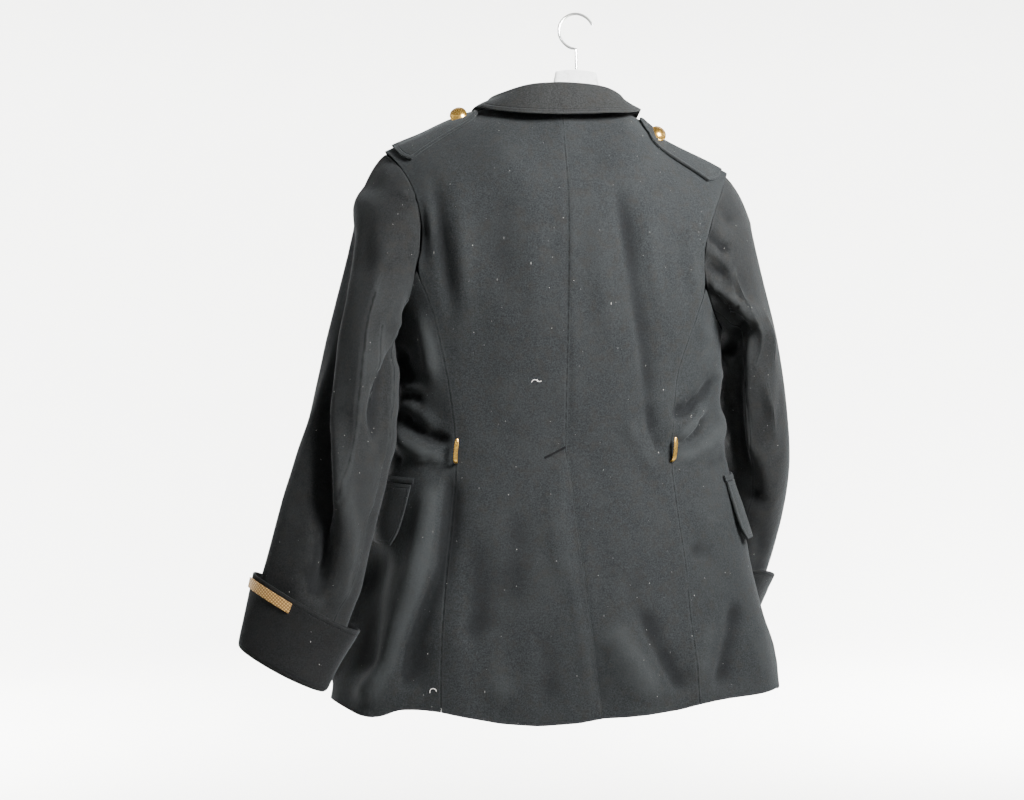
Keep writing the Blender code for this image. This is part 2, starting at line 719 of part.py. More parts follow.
SLEEVE_PAD = 0.7 * SEAM / (2 * math.pi * 0.055)
TOP_ALPHAS = spaced(FORE_SEAM / 360 - 1 + SLEEVE_PAD, HIND_SEAM / 360 - SLEEVE_PAD, 14)
UNDER_ALPHAS = spaced(HIND_SEAM / 360 + SLEEVE_PAD, FORE_SEAM / 360 - SLEEVE_PAD, 8)


def sleeve_rows():
    """Rows of a sleeve, closer at the shoulder."""
    head = [0.0, 0.015, 0.04, 0.075, 0.115, 0.16, 0.20, 0.25]
    return head + spaced(0.30, SLEEVE_END, 15)


def sleeve_normal(alpha, t, side):
    """Normal of a sleeve, led by the body's own normal where it is sewn in."""
    n = normal_at(lambda a, b: sleeve_point(a, b, side), alpha, t, (-2.0, 2.0), (0.0, 1.0), -1)
    turn = alpha % 1.0
    share = (1 - ease(t, 0.0, 0.05)) * ease(abs(turn - 0.5), 0.17, 0.24)
    if share <= 0.0:
        return n
    if turn < 0.5:
        r = 2.0 - min(turn / 0.30, 1.0)
        body = panel_normal(lambda a, b: back_point(a, b, side), 1.0, r, -1)
    else:
        r = 1.0 + max((turn - 0.70) / 0.30, 0.0)
        body = panel_normal(lambda a, b: front_point(a, b, side), 1.0, r, 1)
    return unit(n + (body - n) * share)


def build_sleeves():
    """Top and under sleeves with hind-arm and fore-arm seams."""
    for side, label in ((1, "left"), (-1, "right")):
        cloth(f"sleeve_top_{label}", lambda a, t: sleeve_point(a, t, side),
              TOP_ALPHAS, sleeve_rows(), side, -1,
              normal=lambda a, t: sleeve_normal(a, t, side))
        cloth(f"sleeve_under_{label}", lambda a, t: sleeve_point(a, t, side),
              UNDER_ALPHAS, sleeve_rows(), side, -1,
              normal=lambda a, t: sleeve_normal(a, t, side))


def cuff_frame(alpha, side):
    """Wrist point of a sleeve, its direction down the arm and outwards."""
    e = 0.01
    p = sleeve_ring(alpha, 1.0, side)
    down = unit(p - sleeve_ring(alpha, 1.0 - e, side))
    along = sleeve_ring(alpha + e, 1.0, side) - sleeve_ring(alpha - e, 1.0, side)
    return p, down, unit(cross(down, along))


def cuff_point(alpha, k, side):
    """Turned-back cuff: k counts the rows of its table from the top edge."""
    angle = 2 * math.pi * alpha
    along = CUFF_AT["along"](k)
    off = CUFF_AT["off"](k)
    if along > 0.010:
        along += CUFF_OUTER * (along - 0.010) * (0.5 + 0.5 * math.cos(angle))
    p, down, out = cuff_frame(alpha, side)
    if along > 0:
        p = sleeve_ring(alpha, 1.0 - along / ARM_LONG, side)
    else:
        p = p - down * along
    lip = CUFF_LIP * max(0.0, math.cos(angle - math.radians(165.0))) ** 2
    off += lip * ease(along, 0.030, 0.096)
    return p + out * off


def build_cuffs():
    """Cuffs turned back over the wrists, and the braid bar on the left one."""
    for side, label in ((1, "left"), (-1, "right")):
        alphas = TOP_ALPHAS + UNDER_ALPHAS[1:-1]
        outer, inner = [], []
        last = len(CUFF) - 1.0
        for k in spaced(0.0, last, len(CUFF)):
            high, low = [], []
            for alpha in alphas:
                p = cuff_point(alpha, k, side)
                n = normal_at(lambda a, b: cuff_point(a, b, side), alpha, k,
                              (-2.0, 2.0), (0.0, last), 1)
                high.append(settle(p, side))
                low.append(settle(p + n * WALL, side))
            outer.append(high)
            inner.append(low)
        wall(f"cuff_{label}", outer, inner, MELTON, closed=True)


def cuff_row(along):
    """Row of the cuff's table at a distance above the fold."""
    low, high = 0.0, 4.0
    for _ in range(30):
        middle = (low + high) / 2
        if CUFF_AT["along"](middle) > along:
            low = middle
        else:
            high = middle
    return (low + high) / 2


def build_braid():
    """Bar of gold braid on the left cuff."""
    k_high = cuff_row(BRAID_HIGH)
    k_low = cuff_row(BRAID_LOW)
    cloth("braid_left", lambda a, k: cuff_point(a, k, 1),
          spaced(BRAID_A0 / 360, BRAID_A1 / 360, 9), spaced(k_high, k_low, 3),
          1, -1, look=BRAID, thick=0.0012, lift=0.0012 + 0.0003)


def collar_point(c, q, side):
    """Folded collar: c from the middle of the back to the front, q foot to edge."""
    v = {k: COLLAR_AT[k](abs(c)) for k in COLLAR_COLUMNS[1:]}
    foot = np.array([v["foot_x"], v["foot_y"], v["foot_z"]])
    roll = np.array([v["roll_x"], v["roll_y"], v["roll_z"]])
    edge = np.array([v["edge_x"], v["edge_y"], v["edge_z"]])
    if c < 0:
        roll[0] += 0.7 * v["right_out"]
        edge[0] += v["right_out"]
        edge[2] += 0.85 * v["right_out"]
    else:
        roll[2] -= v["left_low"]
    out = edge - foot
    out[2] = 0.0
    out = unit(out)
    radius = COLLAR_ROLL
    crest = roll + out * radius
    if q <= 0.36:
        u = q / 0.36
        p = foot + (roll - np.array([0.0, 0.0, radius * 0.6]) - foot) * u
    elif q <= 0.56:
        u = (q - 0.36) / 0.20 * math.pi
        base = crest - np.array([0.0, 0.0, radius * 0.6])
        p = base - out * radius * math.cos(u) + np.array([0.0, 0.0, radius * 0.9 * math.sin(u)])
    else:
        u = (q - 0.56) / 0.44
        base = crest + out * radius - np.array([0.0, 0.0, radius * 0.6])
        p = base + (edge - base) * u
        p = p + out * 0.0020 * math.sin(math.pi * u)
    if c < 0:
        p = np.array([-p[0], p[1], p[2]])
    return p


def build_collar():
    """Turned-down collar in one piece round the neck."""
    stations = spaced(-1.0, 1.0, 29)
    across = [0.0, 0.18, 0.36, 0.41, 0.46, 0.51, 0.56, 0.70, 0.85, 1.0]
    cloth("collar", lambda c, q: collar_point(c, q, 1), stations, across, 1, 1,
          drooping=False)


def over_shoulder(x, q, side):
    """Point of the shoulder at arc distance q behind its seam."""
    face = 1 if q >= 0 else -1
    reach = ROLL_BACK if face > 0 else ROLL_FRONT
    top = top_edge(x, face)[0]
    steps = [reach * (i / 40.0) ** 2.2 for i in range(30)]
    path = [skin(x, top - step, side, face) for step in steps]
    far, last = 0.0, path[0]
    for p in path[1:]:
        gap = float(np.linalg.norm(p - last))
        if far + gap >= abs(q):
            return last + (p - last) * ((abs(q) - far) / gap)
        far += gap
        last = p
    return last


def strap_point(s, w, side):
    """Shoulder strap: s from the sleeve to its rounded end, w across from -1 to 1."""
    lean = STRAP_BACK_LEFT if side > 0 else STRAP_BACK_RIGHT
    x = STRAP_X1 + (STRAP_X0 - STRAP_X1) * s
    x -= STRAP_SWEEP * (w + (lean + STRAP_TURN) / STRAP_HALF1) ** 2 * max(0.0, 1 - 1.6 * s)
    half = STRAP_HALF1 + (STRAP_HALF0 - STRAP_HALF1) * s
    end = max(0.0, (STRAP_X0 + STRAP_HALF0 - x) / STRAP_HALF0)
    half = half * math.sqrt(max(1 - end ** 2, 0.0)) if end > 0 else half
    half = max(half, 0.0035)
    return over_shoulder(x, lean + STRAP_TURN * (1 - s) + w * half, side)


def build_straps():
    """Shoulder straps with their rounded ends towards the collar."""
    ends = [0.0, 0.18, 0.36, 0.54, 0.70, 0.80, 0.88, 0.94, 0.98, 1.0]
    for side, label in ((1, "left"), (-1, "right")):
        cloth(f"strap_{label}", lambda s, w: strap_point(s, w, side),
              ends, spaced(-1.0, 1.0, 7), side, -1,
              thick=STRAP_THICK, lift=STRAP_THICK + LAY + 0.0004)


def button(name, centre, axis, radius):
    """Domed button with a rolled rim and a short foot."""
    axis = unit(axis)
    side = unit(cross(axis, np.array([0.0, 0.0, 1.0]) if abs(axis[2]) < 0.9
                         else np.array([1.0, 0.0, 0.0])))
    other = cross(axis, side)
    count = 12
    points, faces = [], []
    for r, h in BUTTON:
        for j in range(count):
            a = 2 * math.pi * j / count
            spread = side * math.cos(a) + other * math.sin(a)
            points.append(centre + spread * radius * r + axis * radius * h)
    rows = len(BUTTON)
    for i in range(rows - 1):
        for j in range(count):
            k = (j + 1) % count
            faces.append((i * count + j, i * count + k, (i + 1) * count + k, (i + 1) * count + j))
    points.append(centre + axis * radius * BUTTON[0][1])
    points.append(centre + axis * radius * 0.52)
    for j in range(count):
        k = (j + 1) % count
        faces.append((rows * count, k, j))
        faces.append((rows * count + 1, (rows - 1) * count + j, (rows - 1) * count + k))
    return add(name, points, faces, GOLD)


def build_buttons():
    """Strap buttons and front buttons."""
    for side, label in ((1, "left"), (-1, "right")):
        s = (STRAP_X1 - STRAP_BUTTON_X) / (STRAP_X1 - STRAP_X0)
        p = strap_point(s, 0.0, side)
        n = normal_at(lambda a, b: strap_point(a, b, side), s, 0.0, (0, 1), (-1, 1), -1)
        stand = STRAP_THICK + LAY + 0.0004 + 0.0004 + 0.10 * BUTTON_SMALL
        tip = settle(p + n * stand, side)
        way = settle(p + n * (stand + 0.002), side) - tip
        button(f"strap_button_{label}", tip, way, BUTTON_SMALL)
    for i, z in enumerate(FRONT_BUTTON_Z):
        p = skin(0.0, z, 1, -1)
        p[1] -= SEAM / 2
        n = normal_at(lambda a, b: skin(a, b, 1, -1), 0.0, z, (-1, 1), (-1, 0), 1)
        stand = 0.0006 + 0.10 * BUTTON_LARGE
        button(f"front_button_{i + 1}", settle(p + n * stand, 1), n, BUTTON_LARGE)


def flap_turns(side, z):
    """Angles of a pocket flap's rear and front edges at a height."""
    start = math.radians(FLAP_ANGLE_LEFT if side > 0 else FLAP_ANGLE_RIGHT)
    near = ring(start, z, side)
    turn, far = start, 0.0
    while far < FLAP_LENGTH:
        turn += 0.01
        p = ring(turn, z, side)
        far += float(np.linalg.norm(p - near))
        near = p
    return start, turn


def flap_point(s, r, side):
    """Pocket flap on the side: s rear to front, r top to bottom."""
    z = FLAP_Z - FLAP_DEEP * r
    start, end = flap_turns(side, FLAP_Z)
    round_off = 0.03 * max(0.0, r - 0.8) / 0.2 * (1 - 2 * s) ** 5
    return ring(start + (end - start) * (s + round_off), z + 0.006 * s, side)


def flap_lift(s, r):
    """The flap's rear lower corner stands off the body."""
    return FLAP_THICK + LAY + 0.0006 + 0.0075 * r ** 1.6 * (1 - s) ** 1.5


def welt_point(s, r, side):
    """Jetted edge over the flap."""
    start, end = flap_turns(side, FLAP_Z)
    z = FLAP_Z + 0.0012 + WELT_DEEP * (1 - r)
    return ring(start - 0.02 + (end - start + 0.04) * s, z + 0.006 * s, side)


def build_pockets():
    """Hip pocket flaps and the jetted edges over them."""
    for side, label in ((1, "left"), (-1, "right")):
        cloth(f"pocket_flap_{label}", lambda s, r: flap_point(s, r, side),
              spaced(0.0, 1.0, 14), spaced(0.0, 1.0, 6), side, 1,
              thick=FLAP_THICK, lift=flap_lift)
        cloth(f"pocket_welt_{label}", lambda s, r: welt_point(s, r, side),
              spaced(0.0, 1.0, 14), [0.0, 0.5, 1.0], side, 1,
              thick=0.0018, lift=lambda s, r: 0.0026 + LAY + 0.0010 * math.sin(math.pi * r))


def build_hooks():
    """Brass belt hooks that stand up from the side-back seams at the waist."""
    for side, label in ((1, "left"), (-1, "right")):
        x = back_seam(HOOK_Z, side)
        foot = skin(x, HOOK_Z, side, 1)
        n = normal_at(lambda a, b: skin(a, b, side, 1), x, HOOK_Z, (0, 1), (-1, 0), -1)
        lean = np.array([-0.09 if side > 0 else 0.06, 0.0, 0.0])
        up = unit(np.array([0.0, 0.0, 1.0]) + lean)
        path = []
        for i in range(7):
            a = math.pi / 2 * i / 6
            path.append(foot + n * (0.0011 + HOOK_STAND * math.sin(a) * 0.85)
                        + up * 0.006 * (1 - math.cos(a)))
        base = path[-1]
        for i in range(1, 6):
            u = i / 5
            path.append(base + up * HOOK_TALL * 0.78 * u + n * 0.0010 * math.sin(math.pi * u))
        across = unit(cross(up, n))
        rings = []
        for i, p in enumerate(path):
            ahead = path[min(i + 1, len(path) - 1)] - path[max(i - 1, 0)]
            face = unit(cross(across, unit(ahead)))
            wide, thick = HOOK_WIDE / 2, HOOK_THICK / 2
            if i == len(path) - 1:
                wide, thick = wide * 0.55, thick * 0.8
            loop = []
            for j in range(8):
                a = 2 * math.pi * (j + 0.5) / 8
                loop.append(settle(p + across * wide * 1.08 * math.cos(a)
                                   + face * thick * 1.08 * math.sin(a), side))
            rings.append(loop)
        points = [q for loop in rings for q in loop]
        faces = [tuple(range(8))[::-1], tuple(range(len(points) - 8, len(points)))]
        for i in range(len(rings) - 1):
            for j in range(8):
                k = (j + 1) % 8
                faces.append((i * 8 + j, i * 8 + k, i * 8 + 8 + k, i * 8 + 8 + j))
        add(f"belt_hook_{label}", points, faces, GOLD)


def hanger_sections():
    """Hanger body from end to end: x, top, bottom and half thickness."""
    rows = []
    middle = spaced(-0.056, 0.056, 17)
    right = spaced(-HANGER_RIGHT, middle[0], 11)[:-1]
    left = spaced(middle[-1], HANGER_LEFT, 12)[1:]
    for x in right + middle + left:
        across = abs(x - GARMENT_X)
        side = 1 if x >= GARMENT_X else -1
        line = top_edge(max(across, HANGER_FLAT), 1)[0]
        arm = settle(np.array([across, 0.0, line]), side)[2] - WALL - 0.0007
        arm -= 0.0022 * ease(abs(x), 0.06, 0.16)
        head = HANGER_HEAD - 0.003 * min(abs(x) / HANGER_NECK, 1.0) ** 2
        head -= 1.2 * max(0.0, abs(x) - HANGER_NECK)
        head -= 8.0 * max(0.0, abs(x) - HANGER_SIDE)
        end = min(1.0, (min(x + HANGER_RIGHT, HANGER_LEFT - x) + 0.004) / 0.03) ** 0.5
        bottom = min(arm, -0.128) - 0.027 * end
        thick = 0.0055 + 0.006 * ease(abs(x), 0.06, 0.16) * end
        rows.append((x, max(arm, head), bottom, thick))
    return rows


def build_hanger():
    """Plain moulded hanger inside the shoulders and its wire hook."""
    points, faces = [], []
    rows = hanger_sections()
    count = 10
    for x, top, low, thick in rows:
        middle, half = (top + low) / 2, (top - low) / 2
        for j in range(count):
            a = 2 * math.pi * j / count
            c, s = math.cos(a), math.sin(a)
            power = (abs(c) ** 3 + abs(s) ** 3) ** (-1 / 3)
            points.append((x, thick * c * power, middle + half * s * power))
    for i in range(len(rows) - 1):
        for j in range(count):
            k = (j + 1) % count
            faces.append((i * count + j, i * count + k, (i + 1) * count + k, (i + 1) * count + j))
    faces.append(tuple(range(count))[::-1])
    faces.append(tuple(range(len(points) - count, len(points))))
    add("hanger", points, faces, PLASTIC)
    centre_z = HANGER_WIRE - HANGER_LOOP
    path = [np.array([0.0, 0.0, HANGER_HEAD + 0.0003])]
    path.append(np.array([0.0, 0.0, HANGER_HEAD + 0.010]))
    stem = centre_z - HANGER_LOOP
    path.append(np.array([0.0, 0.0, stem - 0.008]))
    for i in range(17):
        a = math.radians(-90.0 + 250.0 * i / 16)
        path.append(np.array([HANGER_LOOP * math.cos(a), 0.0, centre_z + HANGER_LOOP * math.sin(a)]))
    points, faces = [], []
    count = 8
    for i, p in enumerate(path):
        ahead = unit(path[min(i + 1, len(path) - 1)] - path[max(i - 1, 0)])
        if i == 0:
            ahead = np.array([0.0, 0.0, 1.0])
        across = np.array([0.0, 1.0, 0.0])
        other = cross(ahead, across)
        for j in range(count):
            a = 2 * math.pi * j / count
            points.append(p + (across * math.cos(a) + other * math.sin(a)) * HANGER_WIRE)
    for i in range(len(path) - 1):
        for j in range(count):
            k = (j + 1) % count
            faces.append((i * count + j, i * count + k, (i + 1) * count + k, (i + 1) * count + j))
    faces.append(tuple(range(count))[::-1])
    faces.append(tuple(range(len(points) - count, len(points))))
    add("hanger_hook", points, faces, CHROME)


def main():
    """Build every part."""
    for old in list(bpy.data.objects):
        bpy.data.objects.remove(old, do_unlink=True)
    build_body()
    build_lapels()
    build_collar()
    build_sleeves()
    build_cuffs()
    build_braid()
    build_straps()
    build_buttons()
    build_pockets()
    build_hooks()
    build_hanger()


main()
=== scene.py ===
"""A police dress tunic of dark melton wool, empty, hung on a plain suit hanger.

Metres, +Z up. The front of the tunic faces -Y and its back +Y, so the wearer's left is
+X, which the picture shows on the left because it is taken from behind. The origin is
where the hanger's hook rests on its rod.
"""

import logging
import math
from dataclasses import dataclass
from enum import Enum
from typing import Optional, Sequence

import bmesh
import bpy
import numpy as np
from mathutils import Matrix, Vector
from mathutils.bvhtree import BVHTree
from mathutils.kdtree import KDTree


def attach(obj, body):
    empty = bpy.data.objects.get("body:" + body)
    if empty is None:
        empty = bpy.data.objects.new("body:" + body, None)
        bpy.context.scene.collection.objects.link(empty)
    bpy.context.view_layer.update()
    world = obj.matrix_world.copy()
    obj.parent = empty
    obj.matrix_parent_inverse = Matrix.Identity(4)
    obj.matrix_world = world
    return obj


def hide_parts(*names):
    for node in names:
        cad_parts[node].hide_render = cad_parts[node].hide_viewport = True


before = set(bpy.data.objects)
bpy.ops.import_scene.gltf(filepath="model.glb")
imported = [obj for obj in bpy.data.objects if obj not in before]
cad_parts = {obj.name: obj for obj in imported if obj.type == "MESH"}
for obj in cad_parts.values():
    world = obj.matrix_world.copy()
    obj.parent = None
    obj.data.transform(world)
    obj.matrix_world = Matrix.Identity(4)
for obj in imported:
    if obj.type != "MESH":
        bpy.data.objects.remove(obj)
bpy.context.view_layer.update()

LOG = logging.getLogger("tunic")
BODY = "root"
GARMENT_X = 0.031

# The picture's eye, its turn from straight ahead, and the plane on which creases are drawn
EYE = np.array((0.335, 1.774, -0.51))
TURN = math.radians(8.0)
SIGHT = np.array((-math.sin(TURN), -math.cos(TURN), 0.0))
RIGHT_HAND = np.array((-math.cos(TURN), math.sin(TURN), 0.0))
PLANE = 1.70

# Points of a solid that are one, the angle past which a wall ends, and the strip beside
# such an end whose points don't lead the creases
WELD = 0.00002
CLOTH_END = math.radians(50)
HARD_END = math.radians(62)
END_STRIP = 0.0016
LEADERS = 4
FACES_OUT = 0.30

# Height and depth of the front armholes, where the sleeves' ends tuck under
ARMHOLE_LOW = -0.335
ARMHOLE_MIDDLE = -0.010


class View(Enum):
    """How a crease is drawn on the cloth.

    PICTURE is the rear view in perspective, measured across and up from its middle on a
    plane 1.70 m from the eye. The others are plain views from that side, in the row frame.
    """

    PICTURE = (0.0, 1.0, 0.0)
    FRONT = (0.0, -1.0, 0.0)
    LEFT = (1.0, 0.0, 0.0)
    RIGHT = (-1.0, 0.0, 0.0)

    def flatten(self, points: np.ndarray) -> np.ndarray:
        """Places on the drawing plane.

        Args:
            points: places in the row frame.

        Returns:
            Across and up for each.
        """
        if self is View.PICTURE:
            seen = points - EYE
            depth = seen @ SIGHT
            return np.stack([seen @ RIGHT_HAND, seen[:, 2]], axis=1) * (PLANE / depth)[:, None]
        across = 0 if self is View.FRONT else 1
        return points[:, (across, 2)]

    def shown(self, points: np.ndarray, normals: np.ndarray) -> np.ndarray:
        """How much each place faces this view.

        Args:
            points: places in the row frame.
            normals: outward directions there.

        Returns:
            Shares from 0 to 1.
        """
        if self is View.PICTURE:
            way = EYE - points
            way /= np.linalg.norm(way, axis=1)[:, None]
            return ease(np.einsum("ij,ij->i", normals, way), -0.30, 0.15)
        return ease(normals @ np.array(self.value), 0.05, 0.45)


def ease(value: np.ndarray, start: float, end: float) -> np.ndarray:
    """Soft step.

    Args:
        value: where to read it.
        start: where it is 0.
        end: where it is 1.

    Returns:
        Values from 0 to 1.
    """
    u = np.clip((value - start) / (end - start), 0.0, 1.0)
    return u * u * (3 - 2 * u)


@dataclass(frozen=True)
class Crease:
    """One soft ridge (rise above 0) or trough (below 0) across the cloth.

    path is its line on the view's plane from the top down, width its half breadth, lean
    how much broader its flank on the line's left hand is (on the right hand below 0),
    and tail the share of its length over which it fades at each end.
    """

    view: View
    path: tuple[tuple[float, float], ...]
    width: float
    rise: float
    lean: float = 0.0
    tail: float = 0.3

    def height(self, points: np.ndarray, normals: np.ndarray) -> np.ndarray:
        """Displacement of the cloth along its normals.

        Args:
            points: places on the cloth's outer face.
            normals: its outward directions there.

        Returns:
            One displacement for each point, in metres.
        """
        flat = self.view.flatten(points)
        line = np.array(self.path)
        reach = 3.0 * self.width * (1 + abs(self.lean))
        inside = np.all((flat > line.min(axis=0) - reach) & (flat < line.max(axis=0) + reach), axis=1)
        total = np.zeros(len(points))
        if not inside.any():
            return total
        near = flat[inside]
        runs = np.diff(line, axis=0)
        lengths = np.hypot(runs[:, 0], runs[:, 1])
        starts = np.concatenate([[0.0], np.cumsum(lengths)])
        best = np.full(len(near), np.inf)
        off = np.zeros(len(near))
        along = np.zeros(len(near))
        for start, run, length, so_far in zip(line, runs, lengths, starts):
            d = near - start
            t = np.clip(d @ run / length ** 2, 0.0, 1.0)
            gap = d - t[:, None] * run
            far = np.hypot(gap[:, 0], gap[:, 1])
            side = np.sign(run[0] * d[:, 1] - run[1] * d[:, 0])
            closer = far < best
            best = np.where(closer, far, best)
            off = np.where(closer, side * far, off)
            along = np.where(closer, so_far + t * length, along)
        u = along / starts[-1]
        breadth = self.width * (1 + self.lean * np.tanh(off / self.width))
        fade = ease(u, 0.0, self.tail) * ease(1 - u, 0.0, self.tail)
        uneven = 1 + 0.16 * np.sin(9.0 * u + 400 * line[0, 0]) + 0.09 * np.sin(23.0 * u + 600 * line[0, 1])
        shown = self.view.shown(points[inside], normals[inside])
        total[inside] = self.rise * uneven * fade * shown * np.exp(-(off / breadth) ** 2)
        return total


def creases(view: View, rows: Sequence[tuple]) -> tuple[Crease, ...]:
    """Creases drawn in one view.

    Args:
        view: the view.
        rows: path in millimetres, half breadth and rise in metres, and then lean and
            tail where they aren't the usual ones.

    Returns:
        The creases, in the rows' order.
    """
    return tuple(Crease(view, tuple((across / 1000, up / 1000) for across, up in path), *rest)
                 for path, *rest in rows)


@dataclass(frozen=True)
class Hang:
    """Slow unevenness of cloth that hangs: sum of long waves of small height."""

    height: float = 0.0006
    waves: tuple[tuple[float, float, float, float], ...] = (
        (31.0, 17.0, 9.0, 0.3), (-23.0, 29.0, 13.0, 1.7), (53.0, -12.0, 21.0, 2.9),
        (17.0, 61.0, -35.0, 4.1), (-71.0, 43.0, 27.0, 5.2), (88.0, 19.0, -66.0, 0.9))

    def at(self, points: np.ndarray) -> np.ndarray:
        """Height of the unevenness.

        Args:
            points: places on the cloth.

        Returns:
            One displacement for each point, in metres.
        """
        total = np.zeros(len(points))
        for kx, ky, kz, shift in self.waves:
            total += np.sin(points @ np.array([kx, ky, kz]) + shift)
        return total * self.height / math.sqrt(len(self.waves))


class Nodes:
    """Short way to add shader nodes to one material."""

    def __init__(self, name: str) -> None:
        """Makes an empty material with a Principled shader.

        Args:
            name: name of the material.
        """
        self.material = bpy.data.materials.new(name)
        self.material.use_nodes = True
        self.tree = self.material.node_tree
        self.shader = self.tree.nodes["Principled BSDF"]
        self.place = self.add("ShaderNodeTexCoord").outputs["Object"]

    def add(self, kind: str, **values: object) -> bpy.types.Node:
        """Adds a node.

        Args:
            kind: Blender's name of the node type.
            values: properties of the node, or its input values by socket name with
                spaces written as underscores.

        Returns:
            The node.
        """
        node = self.tree.nodes.new(kind)
        for key, value in values.items():
            if hasattr(node, key):
                setattr(node, key, value)
            else:
                node.inputs[key.replace("_", " ")].default_value = value
        return node

    def link(self, out: bpy.types.NodeSocket, into: bpy.types.NodeSocket) -> None:
        """Joins two sockets."""
        self.tree.links.new(out, into)

    def noise(self, scale: float, detail: float = 3.0, rough: float = 0.55) -> bpy.types.NodeSocket:
        """Noise on the piece's own coordinates.

        Args:
            scale: grains in a metre.
            detail: octaves.
            rough: strength of the finer octaves.

        Returns:
            The noise value's socket.
        """
        node = self.add("ShaderNodeTexNoise", Scale=scale, Detail=detail, Roughness=rough)
        self.link(self.place, node.inputs["Vector"])
        return node.outputs["Fac"]

    def spread(self, value: bpy.types.NodeSocket, low: float, high: float,
               to_low: float = 0.0, to_high: float = 1.0) -> bpy.types.NodeSocket:
        """Maps a range softly to another.

        Args:
            value: socket to read.
            low: its value that gives to_low.
            high: its value that gives to_high.
            to_low: lowest result.
            to_high: highest result.

        Returns:
            The result's socket.
        """
        node = self.add("ShaderNodeMapRange", interpolation_type="SMOOTHSTEP")
        for key, number in zip(("From Min", "From Max", "To Min", "To Max"),
                               (low, high, to_low, to_high)):
            node.inputs[key].default_value = number
        self.link(value, node.inputs["Value"])
        return node.outputs["Result"]

    def math(self, operation: str, first: object, second: object) -> bpy.types.NodeSocket:
        """Sum, product or the like of two values.

        Args:
            operation: Blender's name of the operation.
            first: socket or number.
            second: socket or number.

        Returns:
            The result's socket.
        """
        node = self.add("ShaderNodeMath", operation=operation)
        for i, value in enumerate((first, second)):
            if isinstance(value, (int, float)):
                node.inputs[i].default_value = value
            else:
                self.link(value, node.inputs[i])
        return node.outputs[0]

    def mix(self, share: bpy.types.NodeSocket, first: object, second: object) -> bpy.types.NodeSocket:
        """Blend of two colours.

        Args:
            share: socket that is 0 for the first and 1 for the second.
            first: colour or socket.
            second: colour or socket.

        Returns:
            The colour's socket.
        """
        node = self.add("ShaderNodeMix", data_type="RGBA")
        self.link(share, node.inputs["Factor"])
        for value, socket in zip((first, second), (node.inputs[6], node.inputs[7])):
            if isinstance(value, tuple):
                socket.default_value = (*value, 1.0)
            else:
                self.link(value, socket)
        return node.outputs[2]

    def bump(self, height: bpy.types.NodeSocket, strength: float, distance: float,
             under: Optional[bpy.types.NodeSocket] = None) -> bpy.types.NodeSocket:
        """Bump from a height.

        Args:
            height: socket of the height, 0 to 1.
            strength: how much of it shows.
            distance: depth in metres.
            under: normal of a coarser bump below.

        Returns:
            The normal's socket.
        """
        node = self.add("ShaderNodeBump", Strength=strength, Distance=distance)
        self.link(height, node.inputs["Height"])
        if under is not None:
            self.link(under, node.inputs["Normal"])
        return node.outputs["Normal"]

    def set(self, **values: object) -> None:
        """Sets the shader's own sockets, spaces written as underscores."""
        for key, value in values.items():
            self.shader.inputs[key.replace("_", " ")].default_value = value


